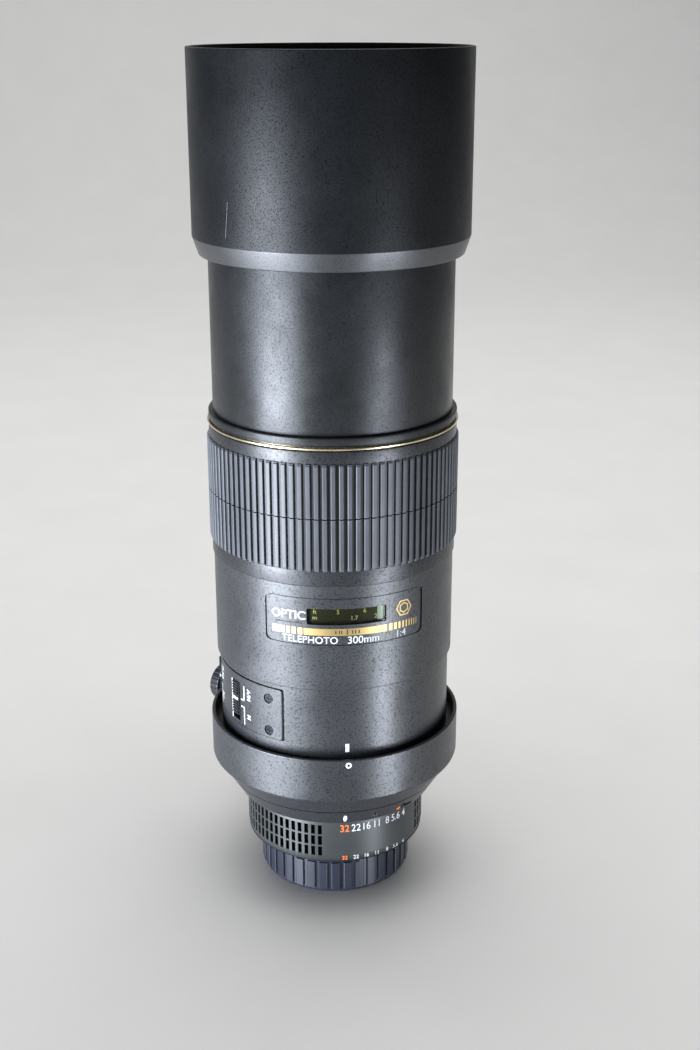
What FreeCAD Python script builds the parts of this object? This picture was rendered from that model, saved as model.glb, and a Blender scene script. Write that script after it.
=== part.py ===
import FreeCAD, Part
import math
import os
import Sketcher
from types import SimpleNamespace

# A 300 mm telephoto camera lens standing on its rear cap. Millimetres, +Z along the optical
# axis towards the subject, origin at the middle of the rear cap's resting face. Azimuth 0 is -Y,
# where the index marks are, and a positive azimuth goes towards +X.

DRIVING_SIZES = (
    # rear cap and bayonet
    ("cap_radius", 27.0, "rear cap over its ribs"),
    ("cap_height", 15.5, "rear cap from resting face to lip"),
    ("cap_floor", 1.8, "rear cap floor thickness"),
    ("cap_rib_depth", 0.7, "height of a grip rib"),
    ("cap_rib_count", 38, "grip ribs round the cap"),
    ("flange_plane", 13.7, "mount flange plane above the resting face"),
    ("flange_radius", 25.0, "mount flange"),
    ("flange_depth", 3.0, "mount flange thickness"),
    ("throat_radius", 19.5, "clear radius inside the bayonet"),
    ("bayonet_radius", 21.8, "bayonet tube outside"),
    ("bayonet_depth", 6.8, "bayonet tube below the flange plane"),
    ("tab_radius", 23.6, "bayonet tabs outside"),
    ("tab_depth", 1.8, "bayonet tab thickness"),
    ("tab_sweep", 56.0, "angle of one bayonet tab"),
    ("tab_raise", 0.7, "bayonet tabs above the end of the tube"),
    ("mount_screw_reach", 23.45, "mount screws from the axis"),
    ("contact_bore", 16.5, "contact block inside"),
    ("contact_bottom", 9.0, "contact block lower face"),
    ("contact_height", 7.5, "contact block along the axis"),
    ("contact_reach", 18.0, "contact pins from the axis"),
    ("contact_radius", 0.5, "contact pin"),
    ("contact_length", 1.9, "contact pin"),
    # aperture ring and tail
    ("aperture_radius", 31.85, "aperture ring outside"),
    ("aperture_bottom", 15.9, "aperture ring lower edge"),
    ("aperture_top", 33.0, "aperture ring upper edge"),
    ("tail_sleeve_radius", 29.9, "sleeve the aperture ring turns on"),
    ("tail_step_z", 33.2, "lower edge of the visible tail"),
    ("tail_step_radius", 34.8, "tail at its lower edge"),
    ("tail_seam_z", 39.3, "seam round the tail"),
    ("tail_seam_radius", 38.6, "tail at its seam"),
    ("tail_seam_width", 0.45, "groove along the seam"),
    ("tail_seam_depth", 0.6, "groove along the seam"),
    ("tail_top", 45.7, "tail upper edge"),
    ("tail_top_radius", 42.6, "tail at its upper edge"),
    ("tail_bore", 26.5, "tail inside"),
    ("tail_floor_bore", 20.5, "opening in the tail's floor"),
    ("tail_floor_top", 19.2, "upper face of the tail's floor"),
    ("tail_socket_z", 41.0, "where the main barrel stands in the tail"),
    ("tail_socket_bore", 34.5, "tail under that seat"),
    ("tail_ledge_z", 37.5, "ledge under the socket"),
    ("tail_screw_z", 35.9, "tail screws along the axis"),
    ("tail_screw_reach", 36.1, "tail screw heads from the axis"),
    ("lock_azimuth", 35.9, "aperture lock round the tail"),
    ("lock_slot_bottom", 34.55, "slot of the aperture lock"),
    ("lock_slot_height", 1.5, "slot of the aperture lock"),
    ("lock_slot_width", 5.6, "slot of the aperture lock"),
    ("lock_slot_floor", 33.2, "slot of the aperture lock, from the axis"),
    ("tail_skin", 6.0, "reach of the cuts through the tail's cone"),
    ("tail_screw_floor", 34.0, "bottom of the tail screw holes from the axis"),
    ("tail_screw_hole", 1.15, "tail screw holes"),
    ("lever_azimuth", -120.0, "stop-down lever round the axis"),
    ("lever_reach", 17.95, "stop-down lever from the axis"),
    ("lever_bottom", 8.0, "lower end of the stop-down lever"),
    ("lever_height", 21.0, "stop-down lever along the axis"),
    ("lever_width", 3.0, "stop-down lever"),
    # tripod collar
    ("collar_radius", 44.0, "tripod collar outside"),
    ("collar_bottom", 45.8, "tripod collar lower edge"),
    ("collar_top", 62.3, "tripod collar rim"),
    ("collar_recess_z", 57.5, "floor of the recess inside the rim"),
    ("collar_recess_radius", 42.65, "recess inside the rim"),
    ("foot_face", 68.0, "tripod foot face from the axis"),
    ("foot_thickness", 6.0, "tripod foot plate"),
    ("foot_width", 25.0, "tripod foot plate"),
    ("foot_bottom", 38.0, "lower end of the foot plate"),
    ("foot_length", 76.0, "foot plate along the axis"),
    ("foot_hole_z", 84.0, "tripod thread along the axis"),
    ("thread_radius", 2.55, "quarter inch thread, inside"),
    ("insert_radius", 5.0, "thread insert outside"),
    ("insert_length", 5.5, "thread insert length"),
    ("knob_radius", 7.1, "lock knob"),
    ("knob_depth", 5.5, "lock knob with its hub"),
    ("knob_hub_radius", 4.6, "hub on the lock knob's inner face"),
    ("knob_hub_depth", 1.4, "hub on the lock knob's inner face"),
    ("knob_bore", 2.5, "hole through the lock knob"),
    ("knob_reach", 50.0, "inner face of the lock knob from the axis"),
    ("knob_azimuth", -135.0, "lock knob round the collar"),
    ("knob_z", 54.9, "lock knob along the axis"),
    ("stem_width", 20.0, "stem of the tripod foot"),
    ("stem_bottom", 47.2, "stem of the tripod foot"),
    ("stem_height", 12.0, "stem of the tripod foot"),
    ("boss_radius", 5.0, "boss under the lock knob"),
    ("boss_face", 48.0, "face of that boss from the axis"),
    ("recess_wall", 41.5, "where the hole for the lock screw starts, from the axis"),
    ("boss_reach", 8.0, "length of that hole"),
    # barrels
    ("barrel_radius", 40.2, "lower barrel outside"),
    ("barrel_bore", 36.3, "barrel inside"),
    ("barrel_neck", 39.0, "barrel under the upper barrel and the focus ring"),
    ("barrel_spigot", 37.5, "barrel inside the tail"),
    ("upper_radius", 41.225, "upper barrel outside"),
    ("upper_bottom", 86.6, "upper barrel lower edge"),
    ("upper_top", 123.4, "upper barrel upper edge"),
    ("barrel_top", 170.5, "top of the barrel under the trim ring"),
    ("focus_bottom", 123.5, "focus ring lower edge"),
    ("grip_bottom", 128.9, "rubber grip lower edge"),
    ("grip_top", 164.4, "rubber grip upper edge"),
    ("focus_top", 168.6, "focus ring upper edge"),
    ("focus_radius", 41.65, "focus ring bands"),
    ("grip_seat", 40.9, "focus ring under the rubber"),
    ("grip_radius", 42.375, "rubber grip over its ribs"),
    ("gold_radius", 42.125, "gold ring"),
    ("gold_bottom", 168.75, "gold ring lower face"),
    ("gold_top", 169.95, "gold ring upper face"),
    ("trim_radius", 41.65, "trim ring"),
    ("trim_top", 173.0, "trim ring upper face"),
    ("front_radius", 40.15, "front tube outside"),
    ("front_top", 233.0, "front edge of the front tube"),
    ("filter_radius", 38.1, "77 mm filter thread, inside"),
    ("filter_depth", 4.5, "filter thread length"),
    ("front_bore", 37.7, "front tube inside"),
    ("plug_bore", 34.6, "front tube inside, where it plugs into the barrel"),
    ("plug_bottom", 163.5, "lower end of that plug"),
    ("front_cell_bottom", 190.0, "front cell lower end"),
    ("front_cell_top", 224.0, "front cell upper end"),
    ("pair_seat_top", 212.6, "seat of the front doublet, upper end"),
    ("pair_seat_floor", 194.9, "seat of the front doublet, lower end"),
    ("pair_ledge", 193.4, "ledge the front doublet rests on, lower edge"),
    ("stop_radius", 42.8, "hood stop ring outside"),
    # hood
    ("hood_radius", 45.0, "hood outside"),
    ("hood_bottom", 224.3, "hood lower edge when drawn out"),
    ("hood_bottom_radius", 43.05, "hood at its lower edge"),
    ("hood_shoulder", 230.1, "top of the hood's chamfer"),
    ("hood_top", 287.5, "hood front edge when drawn out"),
    ("hood_bore", 43.7, "hood inside"),
    ("hood_collar_bore", 40.45, "hood inside its lower collar"),
    ("felt_radius", 41.98, "felt band outside"),
    ("felt_bottom", 225.0, "groove of the felt band"),
    ("felt_top", 229.6, "groove of the felt band"),
    # name plate, window and switches
    ("plate_half_angle", 37.5, "name plate to either side of the index"),
    ("plate_bottom", 103.1, "name plate lower edge"),
    ("plate_top", 119.1, "name plate upper edge"),
    ("plate_skin", 0.45, "name plate thickness"),
    ("window_half_angle", 18.0, "scale window to either side"),
    ("window_bottom", 110.1, "scale window lower edge"),
    ("window_top", 115.7, "scale window upper edge"),
    ("panel_azimuth", -74.5, "middle of the switch panel"),
    ("panel_half_angle", 42.0, "switch panel to either side"),
    ("panel_bottom", 65.9, "switch panel lower edge"),
    ("panel_top", 84.3, "switch panel upper edge"),
    ("panel_skin", 0.8, "switch panel thickness"),
    ("mode_azimuth", -62.8, "focus mode switch"),
    ("limit_azimuth", -92.0, "focus limit switch"),
    ("panel_groove", 0.7, "groove round the switch panel"),
    ("panel_screw_azimuth", 34.9, "panel screws to either side of its middle"),
    ("panel_screw_z", 74.4, "middle of the panel screws"),
    ("panel_screw_rise", 5.9, "panel screws above and below that"),
    ("panel_screw_radius", 1.5, "head of a panel screw"),
    ("switch_width", 4.2, "switch slider round the barrel"),
    ("switch_height", 12.2, "switch slider along the barrel"),
    ("switch_bottom", 67.35, "lowest edge of a slider's travel"),
    ("switch_travel", 2.0, "travel of a slider"),
    ("slider_face", 40.4, "top of a slider from the axis"),
    ("ridge_height", 0.45, "ridges on a slider"),
    # focusing mechanism
    ("guide_bore", 31.5, "guide tube inside"),
    ("guide_radius", 33.0, "guide tube outside"),
    ("guide_bottom", 98.0, "guide tube flange"),
    ("guide_top", 163.0, "guide tube top"),
    ("cam_bottom", 100.1, "cam ring lower face"),
    ("cam_top", 150.0, "cam ring upper face"),
    ("cam_radius", 35.1, "cam ring outside"),
    ("cam_turn", 80.0, "cam ring turn for the full focus travel"),
    ("cam_near_turn", 8.0, "part of that turn on the near side of rest"),
    ("focus_travel", 12.0, "focus group travel"),
    ("pin_radius", 2.0, "cam follower pins"),
    ("pin_z", 129.0, "cam follower pins at rest"),
    ("cell_radius", 31.45, "focus cell outside"),
    ("cell_bottom", 112.0, "focus cell lower end"),
    ("cell_top", 146.0, "focus cell upper end"),
    ("drum_bottom", 106.0, "distance drum lower edge"),
    ("drum_top", 119.0, "distance drum upper edge"),
    ("motor_radius", 36.2, "focus motor outside"),
    # iris
    ("iris_floor", 72.0, "lower face of the iris housing"),
    ("iris_floor_depth", 1.5, "iris housing floor"),
    ("iris_radius", 36.2, "iris housing outside"),
    ("iris_bore", 35.0, "iris housing inside"),
    ("iris_height", 6.0, "iris housing height"),
    ("iris_opening", 19.0, "full aperture"),
    ("blade_outer", 27.5, "outer edge of a blade"),
    ("blade_sweep", 82.0, "angle of a blade"),
    ("blade_skin", 0.1, "blade thickness"),
    ("blade_pitch", 0.15, "height from one blade to the next"),
    ("blade_closing", 32.5, "turn of a blade from open to closed"),
    ("pivot_circle", 29.5, "blade pivots"),
    ("pivot_pin", 0.8, "pivot pin"),
    ("drive_pin", 0.6, "drive pin"),
    ("drive_arm", 5.0, "drive pin from pivot pin"),
    ("drive_angle", 60.0, "drive arm from the radius when open"),
    ("drive_turn", 21.54, "turn of the drive ring"),
    ("drive_ring_bore", 28.2, "drive ring inside"),
    ("drive_ring_radius", 34.9, "drive ring outside"),
    ("drive_ring_height", 1.2, "drive ring thickness"),
    # rear cell and circuit board
    ("rear_cell_radius", 17.5, "rear cell outside"),
    ("rear_cell_bore", 16.25, "rear cell inside"),
    ("rear_cell_bottom", 34.0, "rear cell lower end"),
    ("rear_flange_z", 58.0, "rear cell's flange"),
    ("rear_flange_depth", 2.0, "rear cell's flange"),
    ("board_bore", 22.0, "circuit board inside"),
    ("board_radius", 35.8, "circuit board outside"),
    ("board_z", 62.0, "circuit board lower face"),
    ("board_depth", 1.2, "circuit board thickness"),
    # shared clearances
    ("running_gap", 0.05, "gap between parts that turn or slide on each other"),
    ("seat_gap", 0.02, "gap between seated parts"),
)

# Glass elements: radius, height of the lower and upper surface on the axis, and the curve of each
# surface. A curve is positive when its centre lies below the surface, so a positive upper curve
# bulges up. The two elements of a doublet share the curve where they are cemented.
GLASS = (
    ("front_element", 36.7, 213.0, 222.5, -480.0, 160.0),
    ("front_doublet_upper", 35.9, 200.0, 210.5, -160.0, 140.0),
    ("front_doublet_lower", 35.9, 196.8, 199.98, 420.0, -160.02),
    ("focus_front_doublet_upper", 27.4, 135.0, 141.6, -110.0, 300.0),
    ("focus_front_doublet_lower", 27.4, 132.6, 134.98, 200.0, -110.02),
    ("focus_rear_doublet_upper", 26.4, 119.2, 125.5, -85.0, -400.0),
    ("focus_rear_doublet_lower", 26.4, 117.0, 119.18, -260.0, -85.02),
    ("rear_doublet_upper", 16.2, 49.4, 55.0, -42.0, 95.0),
    ("rear_doublet_lower", 16.2, 47.5, 49.38, -110.0, -42.02),
    ("rear_element", 16.2, 36.5, 40.9, -130.0, 70.0),
)
GLASS_SIZES = ("radius", "bottom", "top", "lower_curve", "upper_curve")

MOUNT_SCREW_AZIMUTHS = (36, 108, 180, 252, 324)
TAIL_SCREW_AZIMUTHS = (16.5, 136.5, -103.5)
FOLLOWER_AZIMUTHS = (90, 210, 330)
BLADE_COUNT = 9
BLADE_STEP = 360 / BLADE_COUNT

DOC = FreeCAD.newDocument("TelephotoLens")
UP = FreeCAD.Vector(0, 0, 1)


class Size:
    """A dimension that knows both its number and the sheet expression it comes from."""

    def __init__(self, value, text):
        self.value = value
        self.text = text

    def joined(self, sign, other, value):
        return Size(value, f"({self.text} {sign} {as_text(other)})")

    def __add__(self, other):
        return self.joined("+", other, self.value + number(other))

    def __sub__(self, other):
        return self.joined("-", other, self.value - number(other))

    def __mul__(self, other):
        return self.joined("*", other, self.value * number(other))

    def __truediv__(self, other):
        return self.joined("/", other, self.value / number(other))


def number(size):
    return size.value if isinstance(size, Size) else size


def as_text(size):
    return size.text if isinstance(size, Size) else str(size)


def sine(angle):
    return Size(math.sin(math.radians(angle.value)), f"sin({angle.text} * 1 deg)")


def magnitude(size):
    return Size(abs(size.value), f"abs({size.text})")


def glass_rows():
    """Rows of the spreadsheet for the glass elements."""
    for label, *values in GLASS:
        for size, value in zip(GLASS_SIZES, values):
            yield f"{label}_{size}", value, f"{label} {size}"


def make_sheet():
    """Fill the spreadsheet and give each of its cells back as a Size."""
    sheet = DOC.addObject("Spreadsheet::Sheet", "Sizes")
    found = {}
    rows = DRIVING_SIZES + tuple(glass_rows())
    for row, (alias, value, note) in enumerate(rows, start=1):
        sheet.set(f"A{row}", alias)
        sheet.set(f"B{row}", str(value))
        sheet.set(f"C{row}", note)
        sheet.setAlias(f"B{row}", alias)
        found[alias] = Size(value, f"Sizes.{alias}")
    DOC.recompute()
    return SimpleNamespace(**found)


D = make_sheet()


def bind(item, prop, size):
    """Tie a property to the sheet, or set it when it is a plain number."""
    if isinstance(size, Size):
        item.setExpression(prop, size.text)
    else:
        setattr(item, prop, size)


# ---------------------------------------------------------------- sketches and turned bodies

def origin_plane(body, role):
    return next(plane for plane in body.Origin.OriginFeatures if plane.Role == role)


def new_sketch(body, name, role="XZ_Plane"):
    sketch = body.newObject("Sketcher::SketchObject", name)
    sketch.AttachmentSupport = [(origin_plane(body, role), "")]
    sketch.MapMode = "FlatFace"
    return sketch


def tie_point(sketch, kind, line, size, name):
    """Hold a line's start at a distance from the sketch's origin, from the sheet."""
    if number(size) == 0:
        axis = -2 if kind == "DistanceX" else -1
        sketch.addConstraint(Sketcher.Constraint("PointOnObject", line, 1, axis))
        return
    index = sketch.addConstraint(Sketcher.Constraint(kind, -1, 1, line, 1, number(size)))
    sketch.renameConstraint(index, name)
    sketch.setExpression(f"Constraints.{name}", as_text(size))


def draw_outline(sketch, points):
    """Draw a closed outline of straight lines through points of (radius, height)."""
    corners = [FreeCAD.Vector(number(across), number(up), 0) for across, up in points]
    count = len(corners)
    lines = [Part.LineSegment(corners[n], corners[(n + 1) % count]) for n in range(count)]
    sketch.addGeometry(lines, False)
    joints = [Sketcher.Constraint("Coincident", n, 2, (n + 1) % count, 1) for n in range(count)]
    sketch.addConstraint(joints)
    for line, (across, up) in enumerate(points):
        tie_point(sketch, "DistanceX", line, across, f"radius_{line}")
        tie_point(sketch, "DistanceY", line, up, f"height_{line}")


def revolve(body, sketch, sweep=360):
    """Turn a sketch round the body's Z axis, to both sides of it when it isn't a full turn."""
    turn = body.newObject("PartDesign::Revolution", f"{body.Name}_turn")
    turn.Profile = sketch
    turn.ReferenceAxis = (sketch, ["V_Axis"])
    bind(turn, "Angle", sweep)
    turn.Midplane = number(sweep) < 360
    body.Tip = turn
    return turn


def turned(label, points):
    """A body turned from one outline of (radius, height) points."""
    body = DOC.addObject("PartDesign::Body", label)
    body.Label = label
    sketch = new_sketch(body, f"{label}_profile")
    draw_outline(sketch, points)
    revolve(body, sketch)
    return body


def tube(label, inner, outer, bottom, top):
    return turned(label, [(inner, bottom), (outer, bottom), (outer, top), (inner, top)])


def rim_edges(shape, radius, height):
    """Names of the round edges with this radius at this height."""
    names = []
    for index, edge in enumerate(shape.Edges, start=1):
        if not isinstance(edge.Curve, Part.Circle):
            continue
        right_radius = abs(edge.Curve.Radius - number(radius)) < 1e-4
        if right_radius and abs(edge.Curve.Center.z - number(height)) < 1e-4:
            names.append(f"Edge{index}")
    return names


def round_rims(body, amount, *rims):
    """Round the rims at the given (radius, height) places."""
    DOC.recompute()
    base = body.Tip
    names = [name for radius, height in rims for name in rim_edges(base.Shape, radius, height)]
    fillet = body.newObject("PartDesign::Fillet", f"{body.Name}_rounding")
    fillet.Base = (base, names)
    fillet.Radius = amount
    body.Tip = fillet
    return body


def pattern(body, feature, count):
    """Repeat a feature round the body's Z axis."""
    copies = body.newObject("PartDesign::PolarPattern", f"{feature.Name}_pattern")
    copies.Originals = [feature]
    copies.Axis = (feature.Profile[0], ["V_Axis"])
    copies.Angle = 360
    bind(copies, "Occurrences", count)
    body.Tip = copies
    return copies


# ---------------------------------------------------------------- primitives and booleans

def upright(azimuth, reach=0.0, height=0.0):
    """Placement whose X axis points outwards at an azimuth."""
    turn = FreeCAD.Rotation(UP, number(azimuth) - 90)
    base = turn.multVec(FreeCAD.Vector(number(reach), 0, 0))
    return FreeCAD.Placement(base + UP * number(height), turn)


def outward(azimuth, reach, height):
    """Placement whose Z axis points outwards at an azimuth."""
    place = upright(azimuth, reach, height)
    lay = FreeCAD.Rotation(FreeCAD.Vector(0, 1, 0), 90)
    return FreeCAD.Placement(place.Base, place.Rotation.multiply(lay))


def shifted(place, across=0.0, along=0.0, up=0.0):
    """The placement moved in its own axes."""
    offset = FreeCAD.Vector(number(across), number(along), number(up))
    return place.multiply(FreeCAD.Placement(offset, FreeCAD.Rotation()))


def primitive(kind, name, place=None, **sizes):
    """A Part primitive whose sizes are tied to the sheet."""
    item = DOC.addObject(f"Part::{kind}", name)
    item.Label = name
    for prop, size in sizes.items():
        bind(item, prop, size)
    if place is not None:
        item.Placement = place
    return item


def cut(label, base, tool):
    item = DOC.addObject("Part::Cut", label)
    item.Label = label
    item.Base = base
    item.Tool = tool
    return item


def common(label, base, tool):
    item = DOC.addObject("Part::Common", label)
    item.Label = label
    item.Base = base
    item.Tool = tool
    return item


def fuse(label, items):
    item = DOC.addObject("Part::MultiFuse", label)
    item.Label = label
    item.Shapes = items
    return item


def group(label, items):
    """Separate solids under one name."""
    item = DOC.addObject("Part::Compound", label)
    item.Label = label
    item.Links = items
    return item


def radial_box(name, azimuth, inner, depth, width, bottom, height):
    """A box that reaches outwards from a radius, centred on an azimuth."""
    place = shifted(upright(azimuth, inner, bottom), along=-number(width) / 2)
    return primitive("Box", name, place, Length=depth, Width=width, Height=height)


def radial_pin(name, azimuth, inner, depth, radius, height):
    """A cylinder that reaches outwards from a radius."""
    return primitive("Cylinder", name, outward(azimuth, inner, height), Radius=radius, Height=depth)


def ring_block(name, inner, outer, bottom, height, sweep=360, start=0.0):
    """A ring, or part of one from an angle anticlockwise off +X."""
    place = FreeCAD.Placement(UP * number(bottom), FreeCAD.Rotation(UP, start))
    solid = primitive("Cylinder", f"{name}_outer", place, Radius=outer, Height=height, Angle=sweep)
    hollow = primitive("Cylinder", f"{name}_inner", place, Radius=inner, Height=height)
    return cut(name, solid, hollow)


def curved_plate(label, azimuth, half_angle, inner, outer, bottom, top, corner):
    """A round-cornered plate that follows the barrel."""
    ring = ring_block(f"{label}_ring", inner, outer, bottom, top - bottom)
    width = outer * sine(half_angle) * 2
    box = radial_box(f"{label}_box", azimuth, inner / 2, outer, width, bottom, top - bottom)
    DOC.recompute()
    rounded = DOC.addObject("Part::Fillet", f"{label}_rounded")
    rounded.Base = box
    outwards = upright(azimuth).Rotation.multVec(FreeCAD.Vector(1, 0, 0))
    rounded.Edges = [
        (index, corner, corner)
        for index, edge in enumerate(box.Shape.Edges, start=1)
        if abs(edge.tangentAt(edge.FirstParameter).dot(outwards)) > 0.99
    ]
    return common(label, ring, rounded)


def screw(name, place, head_radius, head_depth, shank_radius, shank_length):
    """A cross-head screw whose head faces along the placement's Z axis, its top at the origin."""
    head = primitive("Cylinder", f"{name}_head", shifted(place, up=-head_depth),
                     Radius=head_radius, Height=head_depth)
    shank = primitive("Cylinder", f"{name}_shank", shifted(place, up=-head_depth - shank_length),
                      Radius=shank_radius, Height=shank_length)
    slots = []
    slot_width = head_radius * 0.28
    slot_length = head_radius * 1.3
    for turn in range(2):
        turned_place = place.multiply(FreeCAD.Placement(FreeCAD.Vector(), FreeCAD.Rotation(UP, 90 * turn)))
        corner = shifted(turned_place, -slot_length / 2, -slot_width / 2, -head_depth * 0.45)
        slots.append(primitive("Box", f"{name}_slot_{turn + 1}", corner,
                               Length=slot_length, Width=slot_width, Height=head_depth))
    return cut(name, fuse(f"{name}_blank", [head, shank]), fuse(f"{name}_cross", slots))


# ---------------------------------------------------------------- optics

def lens_element(label):
    """A glass element turned from its row of the glass table."""
    radius, bottom, top, lower_curve, upper_curve = (
        getattr(D, f"{label}_{size}") for size in GLASS_SIZES)
    body = DOC.addObject("PartDesign::Body", label)
    body.Label = label
    sketch = new_sketch(body, f"{label}_profile")
    low = surface_arc(radius.value, bottom.value, lower_curve.value)
    high = surface_arc(radius.value, top.value, upper_curve.value)
    axis_low = FreeCAD.Vector(0, bottom.value, 0)
    axis_high = FreeCAD.Vector(0, top.value, 0)
    sketch.addGeometry([
        Part.LineSegment(axis_high, axis_low),
        low.arc,
        Part.LineSegment(low.rim, high.rim),
        high.arc,
    ], False)
    sketch.addConstraint([
        Sketcher.Constraint("Coincident", 0, 2, 1, low.axis_end),
        Sketcher.Constraint("Coincident", 1, low.rim_end, 2, 1),
        Sketcher.Constraint("Coincident", 2, 2, 3, high.rim_end),
        Sketcher.Constraint("Coincident", 3, high.axis_end, 0, 1),
        Sketcher.Constraint("PointOnObject", 0, 1, -2),
        Sketcher.Constraint("PointOnObject", 0, 2, -2),
        Sketcher.Constraint("PointOnObject", 1, 3, -2),
        Sketcher.Constraint("PointOnObject", 3, 3, -2),
        Sketcher.Constraint("Vertical", 2),
    ])
    hold(sketch, "top", Sketcher.Constraint("DistanceY", -1, 1, 0, 1, top.value), top)
    hold(sketch, "bottom", Sketcher.Constraint("DistanceY", -1, 1, 0, 2, bottom.value), bottom)
    hold(sketch, "radius", Sketcher.Constraint("DistanceX", -1, 1, 2, 1, radius.value), radius)
    for name, line, curve in (("lower_curve", 1, lower_curve), ("upper_curve", 3, upper_curve)):
        size = magnitude(curve)
        hold(sketch, name, Sketcher.Constraint("Radius", line, size.value), size)
    revolve(body, sketch)
    return body


def hold(sketch, name, constraint, size):
    """Add a named constraint whose size comes from the sheet."""
    index = sketch.addConstraint(constraint)
    sketch.renameConstraint(index, name)
    sketch.setExpression(f"Constraints.{name}", size.text)


def surface_arc(radius, height, curve):
    """The arc of one optical surface from the axis to the rim, and which of its ends is which."""
    centre = FreeCAD.Vector(0, height - curve, 0)
    reach = math.asin(radius / abs(curve))
    upwards = math.pi / 2 if curve > 0 else -math.pi / 2
    if curve > 0:
        first, last = upwards - reach, upwards
    else:
        first, last = upwards, upwards + reach
    arc = Part.ArcOfCircle(Part.Circle(centre, UP, abs(curve)), first, last)
    ends = (2, 1) if curve > 0 else (1, 2)
    rim = arc.StartPoint if curve > 0 else arc.EndPoint
    return SimpleNamespace(arc=arc, rim=rim, axis_end=ends[0], rim_end=ends[1])


def doublet(label):
    """Two cemented elements, with the cement as a small gap."""
    return group(label, [lens_element(f"{label}_upper"), lens_element(f"{label}_lower")])


# ---------------------------------------------------------------- rear cap, bayonet and tail

def make_rear_cap():
    """Cup over the bayonet, with grip ribs round its side."""
    core = D.cap_radius - D.cap_rib_depth
    rib_root = core - 0.3
    rib_sweep = 6.4
    cavity = D.tab_radius + 0.6
    recess = D.flange_radius + 0.25
    seat = D.flange_plane - D.running_gap
    cap = turned("rear_cap", [
        (0, 0), (core, 0), (core, D.cap_height), (recess, D.cap_height),
        (recess, seat), (cavity, seat), (cavity, D.cap_floor), (0, D.cap_floor),
    ])
    round_rims(cap, 0.8, (core, 0))
    rib = new_sketch(cap, "rear_cap_rib_profile")
    draw_outline(rib, [
        (rib_root, 1.2), (D.cap_radius, 1.6),
        (D.cap_radius, D.cap_height - 1.8), (rib_root, D.cap_height - 1.2),
    ])
    pattern(cap, revolve(cap, rib, rib_sweep), D.cap_rib_count)
    return cap


def make_mount_flange():
    """Flange, bayonet tube and its three tabs, drilled for five screws."""
    flange_top = D.flange_plane + D.flange_depth
    tube_end = D.flange_plane - D.bayonet_depth
    body = turned("mount_flange_turned", [
        (D.throat_radius, tube_end), (D.bayonet_radius, tube_end),
        (D.bayonet_radius, D.flange_plane), (D.flange_radius, D.flange_plane),
        (D.flange_radius, flange_top), (D.throat_radius, flange_top),
    ])
    tab = new_sketch(body, "bayonet_tab_profile")
    tab_root = D.bayonet_radius - 0.3
    tab_bottom = tube_end + D.tab_raise
    draw_outline(tab, [
        (tab_root, tab_bottom), (D.tab_radius, tab_bottom),
        (D.tab_radius, tab_bottom + D.tab_depth), (tab_root, tab_bottom + D.tab_depth),
    ])
    pattern(body, revolve(body, tab, D.tab_sweep), 3)
    holes = []
    for index, azimuth in enumerate(MOUNT_SCREW_AZIMUTHS):
        name = f"flange_hole_{index + 1}"
        seat = upright(azimuth, D.mount_screw_reach, D.flange_plane)
        holes.append(primitive("Cylinder", name, seat, Radius=0.85, Height=D.flange_depth))
        holes.append(primitive("Cylinder", f"{name}_head", shifted(seat, up=-0.2),
                               Radius=1.35, Height=1.5))
    return cut("mount_flange", body, group("flange_holes", holes))


def make_mount_screws():
    """Five cross-head screws that hold the flange to the tail."""
    screws = []
    for index, azimuth in enumerate(MOUNT_SCREW_AZIMUTHS):
        seat = upright(azimuth, D.mount_screw_reach, D.flange_plane + D.seat_gap)
        upside_down = seat.multiply(FreeCAD.Placement(FreeCAD.Vector(), FreeCAD.Rotation(1, 0, 0, 0)))
        screws.append(screw(f"mount_screw_{index + 1}", upside_down, 1.3, 1.2, 0.8, 3.6))
    return group("mount_screws", screws)


def make_contact_block():
    """Plastic arc inside the throat that carries the electrical contacts."""
    blank = ring_block("contact_block_blank", D.contact_bore, D.throat_radius - D.seat_gap,
                       D.contact_bottom, D.contact_height, sweep=60, start=60)
    holes = [primitive("Cylinder", f"contact_hole_{index + 1}", place,
                       Radius=D.contact_radius + D.seat_gap, Height=D.contact_length + D.seat_gap)
             for index, place in enumerate(contact_places())]
    return cut("contact_block", blank, group("contact_holes", holes))


def contact_places():
    """Where the ten contacts stand, a little proud of the block's lower face."""
    first_azimuth = 154
    step = 5.8
    proud = 0.4
    return [upright(first_azimuth + step * index, D.contact_reach, D.contact_bottom - proud)
            for index in range(10)]


def make_contact_pins():
    """Ten spring contacts seated in the block."""
    pins = [primitive("Cylinder", f"contact_pin_{index + 1}", place,
                      Radius=D.contact_radius, Height=D.contact_length)
            for index, place in enumerate(contact_places())]
    return group("contact_pins", pins)


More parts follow.
